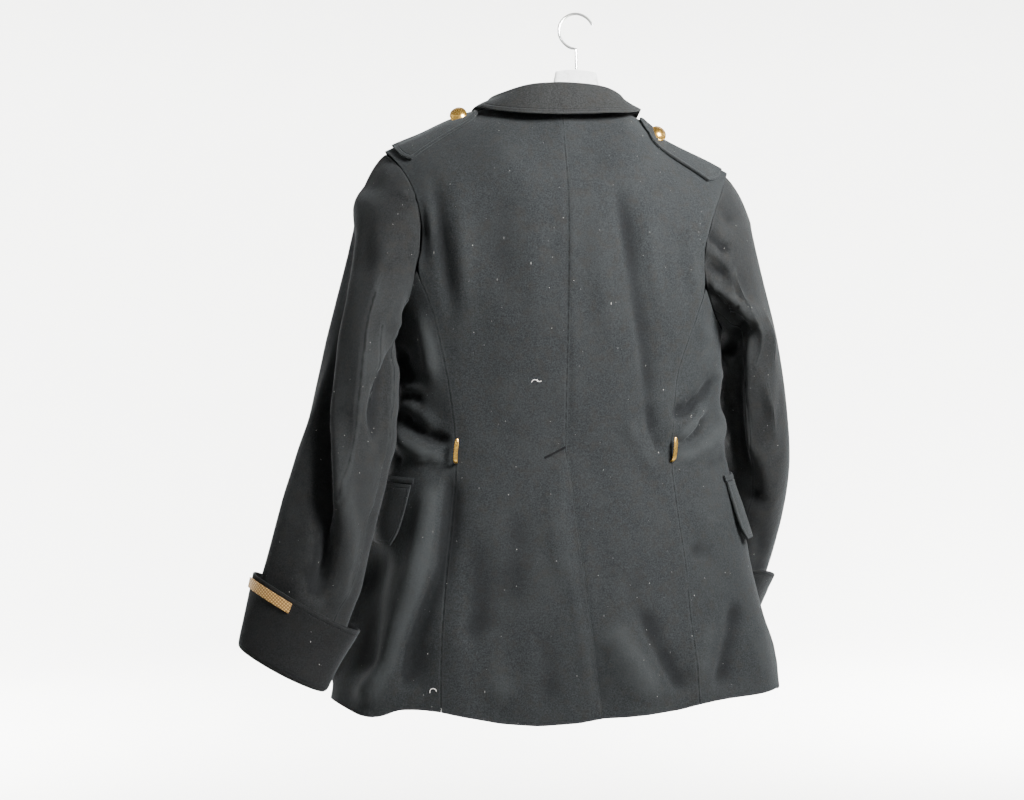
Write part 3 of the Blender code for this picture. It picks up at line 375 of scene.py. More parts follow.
@dataclass(frozen=True)
class WoolFinish:
    """Melton: felted wool with a short nap, lint on it, and sewing along its edges.

    The grain lies between colour and worn. Hollows of the creases go towards deep, a painted shade,
    and ridges towards rubbed by the share rub, a painted highlight that partly stands for wear.
    A thin line of painted shade runs along each edge as the seam, with a band of painted
    highlight beside it. grain and fibre are marks in a metre, lint the share of the cells
    without a fleck, and stitch_at the sewing's distance from the edge.
    """

    colour: tuple[float, float, float] = (0.0070, 0.0082, 0.0091)
    worn: tuple[float, float, float] = (0.0195, 0.0218, 0.0232)
    dusty: tuple[float, float, float] = (0.0180, 0.0196, 0.0204)
    brown: tuple[float, float, float] = (0.0150, 0.0134, 0.0112)
    # painted shade: colour towards which crease hollows and the seam lines at the edges are darkened
    painted_shade: tuple[float, float, float] = (0.0030, 0.0034, 0.0040)
    # painted highlight, partly standing for wear: colour towards which crease ridges and a band beside each
    # edge are lightened
    rubbed_and_highlight: tuple[float, float, float] = (0.0270, 0.0298, 0.0312)
    # share of painted highlight on the crease ridges
    ridge_highlight: float = 0.45
    sheen: float = 0.07
    sheen_colour: tuple[float, float, float] = (0.72, 0.78, 0.84)
    grain: float = 560.0
    fibre: float = 2100.0
    lint: float = 0.935
    fleck: tuple[float, float, float] = (0.42, 0.42, 0.40)
    stitch_at: float = 0.0
    stitch_wide: float = 0.0011

    @staticmethod
    def specks(n: Nodes, scale: float, turn: tuple[float, float, float], stretch: tuple[float, float, float],
               rarity: float, size: float) -> bpy.types.NodeSocket:
        """Lint: a few of many scattered cells carry a small bright fleck.

        Args:
            n: the material.
            scale: cells in a metre.
            turn: direction in which the flecks lie.
            stretch: how the cells are squeezed along each axis.
            rarity: share of the cells without a fleck.
            size: breadth of a fleck as a share of its cell.

        Returns:
            Strength of the flecks.
        """
        way = n.add("ShaderNodeMapping")
        way.inputs["Rotation"].default_value = turn
        way.inputs["Scale"].default_value = stretch
        n.link(n.place, way.inputs["Vector"])
        cells = n.add("ShaderNodeTexVoronoi", Scale=scale, Randomness=1.0)
        n.link(way.outputs["Vector"], cells.inputs["Vector"])
        near = n.spread(cells.outputs["Distance"], size, size * 0.45)
        parts = n.add("ShaderNodeSeparateColor")
        n.link(cells.outputs["Color"], parts.inputs["Color"])
        some = n.spread(parts.outputs["Red"], rarity, rarity + 0.01)
        faint = n.spread(parts.outputs["Green"], 0.0, 1.0, 0.15, 0.9)
        return n.math("MULTIPLY", n.math("MULTIPLY", near, some), faint)

    def material(self, name: str) -> bpy.types.Material:
        """Makes the cloth's material.

        Args:
            name: name of the material.

        Returns:
            The material.
        """
        n = Nodes(name)
        grain = n.spread(n.noise(self.grain, 3.0, 0.75), 0.30, 0.72)
        cloth = n.mix(grain, self.colour, self.worn)
        patch = n.spread(n.noise(22.0, 4.0, 0.6), 0.40, 0.68, 0.0, 0.30)
        cloth = n.mix(patch, cloth, self.dusty)
        cloth = n.mix(n.spread(n.noise(90.0, 3.0, 0.6), 0.46, 0.70, 0.0, 0.30), cloth, self.brown)
        folded = n.add("ShaderNodeAttribute", attribute_name="rise").outputs["Fac"]
        # painted shade in the creases' hollows, and painted highlight, partly wear, on their ridges
        cloth = n.mix(n.spread(folded, -0.0006, -0.0060, 0.0, 0.62), cloth, self.painted_shade)
        cloth = n.mix(n.spread(folded, 0.0006, 0.0065, 0.0, self.ridge_highlight), cloth, self.rubbed_and_highlight)
        rim = n.add("ShaderNodeAttribute", attribute_name="edge").outputs["Fac"]
        # painted highlight in a band beside each edge, and painted shade on the seam line at the edge itself
        lit = n.math("MULTIPLY", n.spread(rim, 0.0006, 0.0014), n.spread(rim, 0.0032, 0.0018))
        cloth = n.mix(n.math("MULTIPLY", lit, 0.20), cloth, self.rubbed_and_highlight)
        cloth = n.mix(n.spread(rim, 0.0010, 0.0003, 0.0, 0.60), cloth, self.painted_shade)
        dust = n.math("MAXIMUM", self.specks(n, 110.0, (0.4, 0.9, 0.2), (1.0, 2.4, 0.7), self.lint, 0.075),
                      self.specks(n, 260.0, (1.1, 0.3, 0.8), (1.0, 1.4, 0.8), 0.965, 0.12))
        dust = n.math("MAXIMUM", dust,
                      self.specks(n, 62.0, (0.2, 1.3, 0.5), (3.2, 3.6, 0.55), 0.94, 0.08))
        n.link(n.mix(dust, cloth, self.fleck), n.shader.inputs["Base Color"])
        n.set(Roughness=0.97, Specular_IOR_Level=0.10, Sheen_Weight=self.sheen, Sheen_Roughness=0.45)
        n.shader.inputs["Sheen Tint"].default_value = (*self.sheen_colour, 1.0)
        felt = n.bump(n.noise(240.0, 3.0, 0.6), 0.35, 0.0012)
        nap = n.bump(n.noise(self.fibre, 2.0, 0.65), 0.45, 0.0005, felt)
        if self.stitch_at > 0.0:
            edge = n.add("ShaderNodeAttribute", attribute_name="edge").outputs["Fac"]
            far = n.math("ABSOLUTE", n.math("SUBTRACT", edge, self.stitch_at), 0.0)
            nap = n.bump(n.spread(far, 0.0, self.stitch_wide), 0.9, 0.0007, nap)
        n.link(nap, n.shader.inputs["Normal"])
        return n.material


@dataclass(frozen=True)
class MetalFinish:
    """Gilt brass or plated steel with fine rubbing and dull places."""

    colour: tuple[float, float, float]
    dull: tuple[float, float, float]
    rough: float
    rubbed_and_highlight: float

    def material(self, name: str) -> bpy.types.Material:
        """Makes the metal's material.

        Args:
            name: name of the material.

        Returns:
            The material.
        """
        n = Nodes(name)
        stain = n.spread(n.noise(420.0, 4.0, 0.6), 0.42, 0.70)
        n.link(n.mix(stain, self.colour, self.dull), n.shader.inputs["Base Color"])
        n.set(Metallic=1.0)
        n.link(n.spread(n.noise(900.0, 3.0, 0.6), 0.30, 0.75, self.rough, self.rubbed_and_highlight),
               n.shader.inputs["Roughness"])
        n.link(n.bump(n.noise(1500.0, 2.0, 0.5), 0.12, 0.0002), n.shader.inputs["Normal"])
        return n.material


@dataclass(frozen=True)
class BraidFinish:
    """Woven metallic braid: short cords side by side in a herringbone."""

    colour: tuple[float, float, float] = (0.60, 0.38, 0.13)
    shade: tuple[float, float, float] = (0.22, 0.12, 0.04)
    cords: float = 620.0

    def material(self, name: str) -> bpy.types.Material:
        """Makes the braid's material.

        Args:
            name: name of the material.

        Returns:
            The material.
        """
        n = Nodes(name)
        weave = []
        for turn in (0.9, -0.9):
            way = n.add("ShaderNodeMapping")
            way.inputs["Rotation"].default_value = (0.0, turn, 0.4)
            n.link(n.place, way.inputs["Vector"])
            wave = n.add("ShaderNodeTexWave", Scale=self.cords / 6.28, Distortion=0.6)
            wave.inputs["Detail"].default_value = 1.0
            n.link(way.outputs["Vector"], wave.inputs["Vector"])
            weave.append(wave.outputs["Fac"])
        cross = n.math("MULTIPLY", weave[0], weave[1])
        tone = n.spread(cross, 0.05, 0.65)
        n.link(n.mix(tone, self.shade, self.colour), n.shader.inputs["Base Color"])
        n.set(Metallic=0.35, Roughness=0.52, Specular_IOR_Level=0.4)
        n.link(n.bump(cross, 0.8, 0.0006), n.shader.inputs["Normal"])
        return n.material


@dataclass(frozen=True)
class PlasticFinish:
    """Pale moulded plastic, a little milky, with scuffs."""

    colour: tuple[float, float, float] = (0.66, 0.68, 0.69)
    scuff: tuple[float, float, float] = (0.46, 0.47, 0.47)

    def material(self, name: str) -> bpy.types.Material:
        """Makes the plastic's material.

        Args:
            name: name of the material.

        Returns:
            The material.
        """
        n = Nodes(name)
        marks = n.spread(n.noise(60.0, 5.0, 0.7), 0.52, 0.72)
        n.link(n.mix(marks, self.colour, self.scuff), n.shader.inputs["Base Color"])
        n.link(n.spread(n.noise(180.0, 3.0, 0.6), 0.3, 0.7, 0.22, 0.42), n.shader.inputs["Roughness"])
        n.set(Specular_IOR_Level=0.5, Coat_Weight=0.15, Coat_Roughness=0.2)
        n.link(n.bump(n.noise(320.0, 3.0, 0.6), 0.10, 0.0004), n.shader.inputs["Normal"])
        return n.material


@dataclass(frozen=True)
class ThreadFinish:
    """Loose cotton thread and lint."""

    colour: tuple[float, float, float] = (0.62, 0.61, 0.58)
    shade: tuple[float, float, float] = (0.42, 0.41, 0.39)

    def material(self, name: str) -> bpy.types.Material:
        """Makes the thread's material.

        Args:
            name: name of the material.

        Returns:
            The material.
        """
        n = Nodes(name)
        n.link(n.mix(n.spread(n.noise(3000.0), 0.3, 0.7), self.colour, self.shade),
               n.shader.inputs["Base Color"])
        n.set(Roughness=0.9, Sheen_Weight=0.3)
        return n.material


WOOL = WoolFinish()
# sleeve wool, with less painted highlight on its crease ridges
SLEEVE_WOOL = WoolFinish(colour=(0.0056, 0.0062, 0.0067), worn=(0.0152, 0.0163, 0.0170), ridge_highlight=0.15)
CUFF_WOOL = WoolFinish(colour=(0.0040, 0.0044, 0.0048), worn=(0.0112, 0.0120, 0.0126),
                       brown=(0.009, 0.008, 0.007), dusty=(0.0100, 0.0106, 0.0110), stitch_at=0.0060)
# lighter copy of the wool for lapels, flaps and straps: the extra lightness is painted light, as if these
# pieces were lit more
EDGED_WOOL = WoolFinish(colour=(0.0082, 0.0095, 0.0105), worn=(0.0230, 0.0256, 0.0270), stitch_at=0.0048)
# near-black wool for the vent's tack: a painted shadow line
TACK_SHADOW_WOOL = WoolFinish(colour=(0.0018, 0.0020, 0.0024), worn=(0.0050, 0.0055, 0.0062))
COLLAR_WOOL = WoolFinish(colour=(0.0064, 0.0070, 0.0074), worn=(0.0226, 0.0236, 0.0238), stitch_at=0.0060,
                         stitch_wide=0.0012)
GILT = MetalFinish((0.80, 0.49, 0.12), (0.50, 0.28, 0.07), 0.18, 0.34)
PLATED = MetalFinish((0.78, 0.79, 0.80), (0.55, 0.56, 0.57), 0.12, 0.26)
BRAID = BraidFinish()
PLASTIC = PlasticFinish()
THREAD = ThreadFinish()


def finished(name: str, mesh: bpy.types.Mesh, material: bpy.types.Material) -> bpy.types.Object:
    """Puts a finished mesh in the scene as a piece that rides on the garment.

    Args:
        name: name of the piece.
        mesh: its mesh, in the row frame.
        material: its material.

    Returns:
        The piece.
    """
    mesh.materials.clear()
    mesh.materials.append(material)
    mesh.shade_smooth()
    piece = bpy.data.objects.new(name, mesh)
    bpy.context.scene.collection.objects.link(piece)
    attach(piece, BODY)
    return piece


def mesh_of(bm: bmesh.types.BMesh, name: str) -> bpy.types.Mesh:
    """Mesh of a bmesh, which is freed.

    Args:
        bm: the bmesh.
        name: name of the mesh.

    Returns:
        The mesh.
    """
    mesh = bpy.data.meshes.new(name)
    bm.to_mesh(mesh)
    bm.free()
    return mesh


def refined(mesh: bpy.types.Mesh, levels: int) -> bpy.types.Mesh:
    """Subdivided copy of a mesh.

    Args:
        mesh: the mesh, in the row frame.
        levels: levels of subdivision.

    Returns:
        The finer mesh.
    """
    carrier = bpy.data.objects.new(mesh.name + "_carrier", mesh)
    bpy.context.scene.collection.objects.link(carrier)
    soft = carrier.modifiers.new("soft", "SUBSURF")
    soft.levels = levels
    soft.render_levels = levels
    bpy.context.view_layer.update()
    graph = bpy.context.evaluated_depsgraph_get()
    fine = bpy.data.meshes.new_from_object(carrier.evaluated_get(graph))
    bpy.data.objects.remove(carrier)
    return fine


def opened(node: str, flat: float) -> bmesh.types.BMesh:
    """Bmesh of a solid, with its triangles joined where they lie flat.

    Args:
        node: name of the node.
        flat: angle up to which two triangles are one face.

    Returns:
        The bmesh.
    """
    bm = bmesh.new()
    bm.from_mesh(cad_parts[node].data)
    bmesh.ops.remove_doubles(bm, verts=bm.verts, dist=WELD)
    bmesh.ops.join_triangles(bm, faces=bm.faces, cmp_seam=False, cmp_sharp=False, cmp_uvs=False,
                             cmp_vcols=False, cmp_materials=False, angle_face_threshold=flat,
                             angle_shape_threshold=3.1)
    return bm


def rounded(bm: bmesh.types.BMesh, ends: Sequence[bmesh.types.BMEdge], offset: float) -> None:
    """Rounds a solid's edges.

    Args:
        bm: the bmesh.
        ends: the edges.
        offset: breadth of the rounding, in metres.
    """
    bmesh.ops.bevel(bm, geom=ends, offset=offset, offset_type="OFFSET", segments=2, profile=0.5,
                    affect="EDGES", clamp_overlap=True, material=-1)


def coordinates(mesh: bpy.types.Mesh) -> tuple[np.ndarray, np.ndarray]:
    """Places and directions of a mesh's vertices.

    Args:
        mesh: the mesh.

    Returns:
        The points, and the outward normals there.
    """
    count = len(mesh.vertices)
    points, normals = np.empty(count * 3), np.empty(count * 3)
    mesh.vertices.foreach_get("co", points)
    mesh.vertex_normals.foreach_get("vector", normals)
    return points.reshape(-1, 3), normals.reshape(-1, 3)


@dataclass
class ClothPiece:
    """A panel of cloth made on its solid: softened, with rolled edges.

    flat is the cut's width and length, area its flat area; neither is used. Its ends grow by seam, and by
    tuck at the front armhole.
    """

    node: str
    flat: tuple[float, float]
    area: float
    held: str
    rests_on: tuple[str, ...]
    finish: WoolFinish = WOOL
    levels: int = 2
    edge_roll: float = 0.00085
    seam: float = 0.00040
    tuck: float = 0.0

    def mesh(self) -> bpy.types.Mesh:
        """Makes the softened wall from the solid's own triangles.

        Returns:
            The fine mesh, with each point's distance from an edge as its attribute.
        """
        bm = opened(self.node, 0.9)
        rim = [e for e in bm.edges if e.is_manifold and e.calc_face_angle(0.0) > CLOTH_END]
        tree = self.rim_tree(rim)
        self.grow(rim)
        rounded(bm, rim, self.edge_roll)
        fine = refined(mesh_of(bm, self.node + "_cloth"), self.levels)
        edge = fine.attributes.new("edge", "FLOAT", "POINT")
        edge.data.foreach_set("value", [tree.find(v.co)[2] for v in fine.vertices])
        return fine

    def grow(self, rim: Sequence[bmesh.types.BMEdge]) -> None:
        """Widens the wall a little at its ends, so that it meets the next one in the seam.

        Args:
            rim: edges along which the wall ends.
        """
        around: dict[bmesh.types.BMVert, int] = {}
        for edge in rim:
            for vert in edge.verts:
                around[vert] = around.get(vert, 0) + 1
        sharp = set(rim)
        moves = {}
        for vert in around:
            ends = [f.normal for f in vert.link_faces if sum(e in sharp for e in f.edges) >= 2]
            if ends:
                way = sum(ends, Vector())
                at_front = vert.co.z > ARMHOLE_LOW and vert.co.y < ARMHOLE_MIDDLE
                if way.length > 0.3:
                    moves[vert] = way.normalized() * max(self.seam, self.tuck * at_front)
        for vert, move in moves.items():
            vert.co += move

    @staticmethod
    def rim_tree(rim: Sequence[bmesh.types.BMEdge]) -> KDTree:
        """Tree of places along the wall's edges.

        Args:
            rim: edges along which the wall ends.

        Returns:
            The tree.
        """
        step = 0.0015
        places = []
        for edge in rim:
            a, b = (v.co for v in edge.verts)
            count = max(1, int(edge.calc_length() / step))
            places += [a.lerp(b, i / count) for i in range(count + 1)]
        tree = KDTree(len(places))
        for i, place in enumerate(places):
            tree.insert(place, i)
        tree.balance()
        return tree

    def dress(self, mesh: bpy.types.Mesh) -> bpy.types.Object:
        """Args:
            mesh: the fine mesh.

        Returns:
            The piece.
        """
        piece = finished(self.node + "_cloth", mesh, self.finish.material(self.node + "_wool"))
        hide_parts(self.node)
        return piece


@dataclass
class Drape:
    """Cloth that moves as one: panels, and what is sewn on them, share its creases.

    centre gives the inside of the form at a height, so that outer faces are known.
    """

    creases: tuple[Crease, ...]
    centre: tuple[tuple[float, float, float], ...]
    hem: tuple[tuple[float, float], ...] = ()
    hang: Hang = Hang()

    def inside(self, points: np.ndarray) -> np.ndarray:
        """Middle of the form beside each point.

        Args:
            points: places on the cloth.

        Returns:
            Across and depth of the middle at each one's height.
        """
        rows = np.array(sorted(self.centre))
        x = np.interp(points[:, 2], rows[:, 0], rows[:, 1])
        y = np.interp(points[:, 2], rows[:, 0], rows[:, 2])
        return np.stack([x, y], axis=1)

    def outward(self, points: np.ndarray) -> np.ndarray:
        """Rough way out of the form at each point.

        Args:
            points: places on the cloth.

        Returns:
            One direction of unit length for each.
        """
        way = np.zeros_like(points)
        way[:, :2] = points[:, :2] - self.inside(points)
        way[:, 2] = np.maximum(0.0, points[:, 2] - max(row[0] for row in self.centre)) * 1.6
        return way / np.linalg.norm(way, axis=1)[:, None]

    def move(self, panels: Sequence[bpy.types.Mesh], trims: Sequence[bpy.types.Mesh] = ()) -> None:
        """Pushes the creases into the panels, and carries the trims along.

        Both faces of the wall follow the outer face beside them, so that it keeps its
        thickness and the panels stay joined.

        Args:
            panels: meshes of the cloth itself.
            trims: meshes of what is sewn on it.
        """
        read = [coordinates(mesh) for mesh in panels]
        points = np.concatenate([p for p, _ in read])
        normals = np.concatenate([n for _, n in read])
        rim = np.concatenate([edge_distance(mesh) for mesh in panels])
        faces_out = np.einsum("ij,ij->i", normals, self.outward(points)) > FACES_OUT
        kept = np.nonzero(faces_out & (rim > END_STRIP))[0]
        tree = KDTree(len(kept))
        for i, k in enumerate(kept):
            tree.insert(points[k], i)
        tree.balance()
        leaders, ways = points[kept], normals[kept]
        rise = self.hang.at(leaders)
        for crease in self.creases:
            rise += crease.height(leaders, ways)
        shift = ways * rise[:, None]
        if self.hem:
            flat = View.PICTURE.flatten(leaders)
            across, lift = zip(*self.hem)
            low = ease(-flat[:, 1], 0.25, 0.40) * View.PICTURE.shown(leaders, ways)
            shift[:, 2] += np.interp(flat[:, 0], across, lift) * low
        for number, mesh in enumerate((*panels, *trims)):
            own, _ = coordinates(mesh)
            moved = own.copy()
            lifted = np.zeros(len(own))
            for i, place in enumerate(own):
                found = tree.find_n(place, LEADERS)
                weights = np.array([1.0 / (far + 0.0004) for _, _, far in found])
                nearby = [k for _, k, _ in found]
                weights /= weights.sum()
                moved[i] += weights @ shift[nearby]
                lifted[i] = weights @ rise[nearby]
            mesh.vertices.foreach_set("co", moved.ravel())
            if number < len(panels):
                mesh.attributes.new("rise", "FLOAT", "POINT").data.foreach_set("value", lifted)
            mesh.update()


def edge_distance(mesh: bpy.types.Mesh) -> np.ndarray:
    """Each point's distance from an edge of its panel.

    Args:
        mesh: a panel's fine mesh.

    Returns:
        The distances.
    """
    values = np.empty(len(mesh.vertices))
    mesh.attributes["edge"].data.foreach_get("value", values)
    return values


# Creases by view, a row each: path in millimetres, half breadth, rise, lean, tail
BODY_CREASES = (
    creases(View.PICTURE, (
        (((-42, -150), (-46, -250), (-50, -350)), 0.023, -0.0048, 0.0, 0.35),
        (((-118, 120), (-105, 70), (-96, 10)), 0.011, 0.005, 0.0, 0.35),
        (((132, 362), (160, 350), (190, 328)), 0.015, 0.0075, 0.0, 0.35),
        (((-101, 300), (-94, 244), (-89, 200), (-80, 144), (-76, 81)), 0.0088, -0.0057, 0.3),
        (((-116, 256), (-111, 206), (-109, 156)), 0.0075, -0.0043, 0.2, 0.35),
        (((-104, 263), (-99, 188)), 0.0063, 0.0022, 0.0, 0.4),
        (((-68, 287), (-60, 188), (-58, 75)), 0.0125, 0.003, 0.0, 0.35),
        (((-7, 325), (-13, 212), (-5, 87)), 0.0187, -0.0022, 0.0, 0.4),
        (((28, 312), (30, 175), (35, 25)), 0.0163, 0.0016, 0.0, 0.4),
        (((126, 294), (139, 237), (150, 175), (160, 100), (169, 37), (175, -37)),
         0.0112, -0.0054, 0.3, 0.25),
        (((107, 250), (117, 138), (128, 25)), 0.015, 0.0023, 0.0, 0.35),
        (((168, 263), (177, 175), (188, 87)), 0.0125, 0.0024, 0.0, 0.35),
        (((203, 225), (212, 163), (223, 113)), 0.0075, -0.0022, 0.0, 0.35),
        (((223, 231), (230, 163), (235, 113)), 0.0075, 0.0027, 0.0, 0.35),
        (((235, 113), (245, 69), (235, 31)), 0.0088, 0.0032, 0.0, 0.35),
        (((74, 312), (76, 125), (80, -50)), 0.0069, 0.0014, 0.3, 0.2),
        (((68, 338), (69, 125), (71, -50)), 0.0028, -0.0011, 0.0, 0.15),
        (((-145, 72), (-136, 43), (-121, 21)), 0.0094, -0.0088, 0.2, 0.25),
        (((-147, 19), (-130, 14), (-110, 18)), 0.004, 0.0046),
        (((-140, 5), (-129, 5), (-111, 1)), 0.005, -0.0067),
        (((-138, -9), (-115, -15), (-92, -33)), 0.0063, 0.0035),
        (((-139, -13), (-129, -30), (-107, -45), (-75, -51)), 0.0075, -0.0101, -0.2, 0.22),
        (((-151, -30), (-135, -55), (-110, -69), (-75, -76)), 0.0094, 0.0071, 0.2, 0.25),
        (((-155, -48), (-149, -65), (-135, -83)), 0.005, -0.0046),
        (((-121, 125), (-105, 69), (-95, 0)), 0.01, 0.0035, 0.0, 0.35),
        (((-115, -87), (-90, -83), (-62, -77)), 0.0088, -0.0022, 0.0, 0.35),
        (((-76, -81), (-81, -150), (-89, -212), (-110, -263), (-126, -312), (-136, -390)),
         0.0112, -0.0095, 0.35, 0.15),
        (((-98, -94), (-110, -169), (-126, -237), (-144, -290), (-155, -330), (-176, -362),
          (-200, -390)), 0.0138, 0.0104, 0.0, 0.12),
        (((-154, -175), (-169, -225), (-175, -281), (-182, -325), (-207, -352)), 0.0125, -0.0081, 0.0, 0.2),
        (((-52, -200), (-62, -275), (-75, -375)), 0.0163, 0.0024),
        (((4, -125), (6, -200), (0, -275)), 0.0187, -0.003),
        (((-28, -275), (-18, -338), (-7, -403)), 0.02, 0.0041),
        (((-100, -300), (-110, -350), (-117, -390)), 0.0112, -0.0032, 0.0, 0.25),
        (((35, -275), (45, -338), (55, -403)), 0.0163, -0.0032),
        (((49, -87), (55, -175), (68, -250)), 0.01, 0.0024),
        (((256, 33), (241, 7), (224, -11), (195, -21)), 0.0075, -0.0111, -0.2, 0.22),
        (((239, 3), (228, -25), (204, -54)), 0.0057, 0.0089, 0.2, 0.25),
        (((242, -15), (231, -43), (206, -59)), 0.0057, -0.0062, 0.0, 0.25),
        (((265, -25), (250, -50), (228, -65), (195, -76)), 0.01, 0.0062, 0.0, 0.25),
        (((169, 6), (175, -40), (190, -75)), 0.0075, -0.0046, 0.2),
        (((142, -13), (158, -58), (185, -92)), 0.01, 0.0038),
        (((235, -87), (255, -77), (273, -65)), 0.0063, -0.0032),
        (((217, -181), (237, -189), (260, -190)), 0.01, -0.0035, 0.0, 0.35),
        (((223, -125), (240, -144), (263, -163)), 0.0125, 0.003, 0.0, 0.35),
        (((117, -275), (142, -319), (165, -362), (190, -395)), 0.0187, 0.0076, 0.0, 0.22),
        (((160, -250), (180, -306), (205, -356), (225, -385)), 0.0125, -0.0062, 0.2, 0.22),
        (((107, -300), (110, -350), (115, -403)), 0.0112, -0.0027),
        (((282, -237), (274, -300), (263, -350), (255, -380)), 0.0112, -0.0057, 0.2, 0.22),
        (((250, -263), (240, -325), (235, -375)), 0.0138, 0.0038),
        (((307, -275), (315, -319), (320, -362)), 0.0138, 0.0046),
        (((155, -200), (152, -250), (145, -287)), 0.0125, -0.0024, 0.0, 0.35),
        (((279, -94), (290, -150), (300, -200)), 0.01, 0.0022, 0.0, 0.35),
        (((-155, 94), (-154, 25), (-152, -50)), 0.0075, 0.009, 0.0, 0.25),
        (((260, 50), (263, 0), (270, -50)), 0.0075, 0.007, 0.0, 0.25),
        (((39, -76), (54, -69), (69, -60)), 0.0033, -0.003, 0.0, 0.15),
        (((44, -83), (55, -76), (64, -71)), 0.004, 0.0018, 0.0, 0.25),
        (((71, -65), (77, -150), (86, -225), (98, -300), (113, -395)), 0.004, -0.0016, 0.0, 0.08),
        (((59, -70), (64, -150), (74, -225), (85, -300), (101, -395)), 0.005, 0.0015, 0.0, 0.08),
    ))
    + creases(View.FRONT, (
        (((118, -260), (128, -350), (150, -450)), 0.012, -0.0028),
        (((-66, -270), (-74, -360), (-94, -460)), 0.012, -0.0028),
        (((160, -230), (168, -320), (180, -400)), 0.012, 0.002),
        (((-104, -240), (-112, -330), (-124, -410)), 0.012, 0.002),
        (((196, -440), (150, -520), (80, -572)), 0.009, 0.0044, 0.2),
        (((-130, -446), (-86, -522), (-28, -570)), 0.009, 0.0044, 0.2),
        (((190, -486), (140, -554), (86, -590)), 0.008, -0.0046, 0.2),
        (((-126, -492), (-80, -556), (-22, -588)), 0.008, -0.0046, 0.2),
        (((206, -520), (170, -580), (130, -604)), 0.008, 0.003),
        (((-140, -524), (-108, -582), (-70, -606)), 0.008, 0.003),
        (((110, -690), (124, -790), (144, -905)), 0.016, 0.004, 0.0, 0.2),
        (((-56, -690), (-70, -800), (-88, -905)), 0.016, 0.004, 0.0, 0.2),
        (((68, -640), (74, -770), (80, -905)), 0.014, -0.003, 0.0, 0.2),
        (((-14, -640), (-20, -780), (-24, -905)), 0.014, -0.003, 0.0, 0.2),
        (((196, -700), (210, -800), (226, -900)), 0.014, -0.0034, 0.0, 0.2),
        (((-130, -700), (-146, -800), (-160, -900)), 0.014, -0.0034, 0.0, 0.2),
    ))
    + creases(View.LEFT, (
        (((50, -460), (0, -520), (-50, -580)), 0.009, -0.004),
        (((50, -500), (0, -560), (-44, -600)), 0.009, 0.0036),
    ))
    + creases(View.RIGHT, (
        (((50, -470), (0, -530), (-50, -590)), 0.009, -0.004),
        (((44, -510), (-6, -566), (-50, -606)), 0.009, 0.0036),
    ))
    + creases(View.LEFT, (
        (((-10, -720), (-14, -810), (-20, -900)), 0.016, 0.0036, 0.0, 0.2),
    ))
    + creases(View.RIGHT, (
        (((-10, -720), (-14, -810), (-20, -900)), 0.016, 0.0036, 0.0, 0.2),
    ))
)
LEFT_SLEEVE_CREASES = (
    creases(View.PICTURE, (
        (((-229, -30), (-231, -120), (-230, -200), (-238, -256)), 0.0115, -0.0075, -0.2, 0.15),
        (((-212, -30), (-211, -120), (-210, -200), (-216, -258)), 0.0085, 0.006, 0.4, 0.15),
        (((-180, 273), (-190, 219), (-194, 172), (-199, 135), (-207, 85), (-215, 35), (-220, -15),
          (-221, -69), (-220, -119), (-217, -163), (-219, -206), (-226, -265)), 0.015, 0.0109, 0.8, 0.06),
        (((-193, 244), (-204, 188), (-212, 125), (-223, 69), (-230, 6), (-234, -62), (-233, -125),
          (-231, -188), (-242, -258)), 0.0112, -0.0127, -0.25, 0.1),
        (((-215, 188), (-234, 100), (-265, -25), (-290, -138), (-312, -219)), 0.0175, 0.0032, 0.0, 0.2),
        (((-120, 165), (-135, 128), (-152, 83), (-168, 48), (-188, -5), (-190, -37)),
         0.01, 0.0063, -0.75, 0.15),
        (((-150, 70), (-160, 43), (-172, 15), (-176, -19), (-170, -58)), 0.0081, -0.0081, 0.25, 0.18),
        (((-158, 69), (-150, 35), (-151, -25), (-155, -87)), 0.0088, 0.0063, 0.0, 0.2),
        (((-172, -62), (-175, -100), (-182, -150)), 0.01, 0.0043),
        (((-200, 0), (-203, -87), (-199, -175)), 0.0088, -0.0027),
        (((-122, 217), (-142, 188), (-168, 145)), 0.0033, -0.0022),
        (((-146, 261), (-135, 258), (-122, 255)), 0.0037, 0.0032, 0.0, 0.35),
        (((-140, 247), (-128, 249), (-115, 246)), 0.0037, -0.0032, 0.0, 0.35),
        (((-130, 185), (-120, 184), (-111, 179)), 0.0037, 0.0037, 0.0, 0.35),
        (((-158, 231), (-160, 175), (-172, 87)), 0.0125, 0.0022),
        (((-175, 250), (-177, 200), (-182, 138)), 0.0088, -0.002),
        (((-209, -200), (-203, -237), (-200, -263)), 0.0075, -0.0027),
        (((-265, -200), (-255, -231), (-237, -250)), 0.0088, -0.0032),
        (((-135, 144), (-144, 110), (-150, 75)), 0.0125, 0.0056),
        (((-145, 87), (-146, 25), (-147, -37)), 0.0063, 0.003, 0.0, 0.25),
    ))
    + creases(View.FRONT, (
        (((226, -400), (276, -452), (330, -470)), 0.009, -0.0044),
        (((240, -440), (286, -490), (338, -506)), 0.009, 0.004),
        (((252, -540), (300, -576), (352, -580)), 0.008, 0.0044),
        (((256, -570), (302, -606), (356, -612)), 0.007, -0.0044),
        (((268, -606), (314, -640), (362, -642)), 0.008, 0.0034),
        (((282, -680), (330, -706), (374, -700)), 0.009, -0.003),
    ))
    + creases(View.LEFT, (
        (((10, -290), (24, -430), (50, -620)), 0.014, -0.003),
        (((-24, -400), (0, -540), (30, -700)), 0.012, 0.0034),
    ))
)
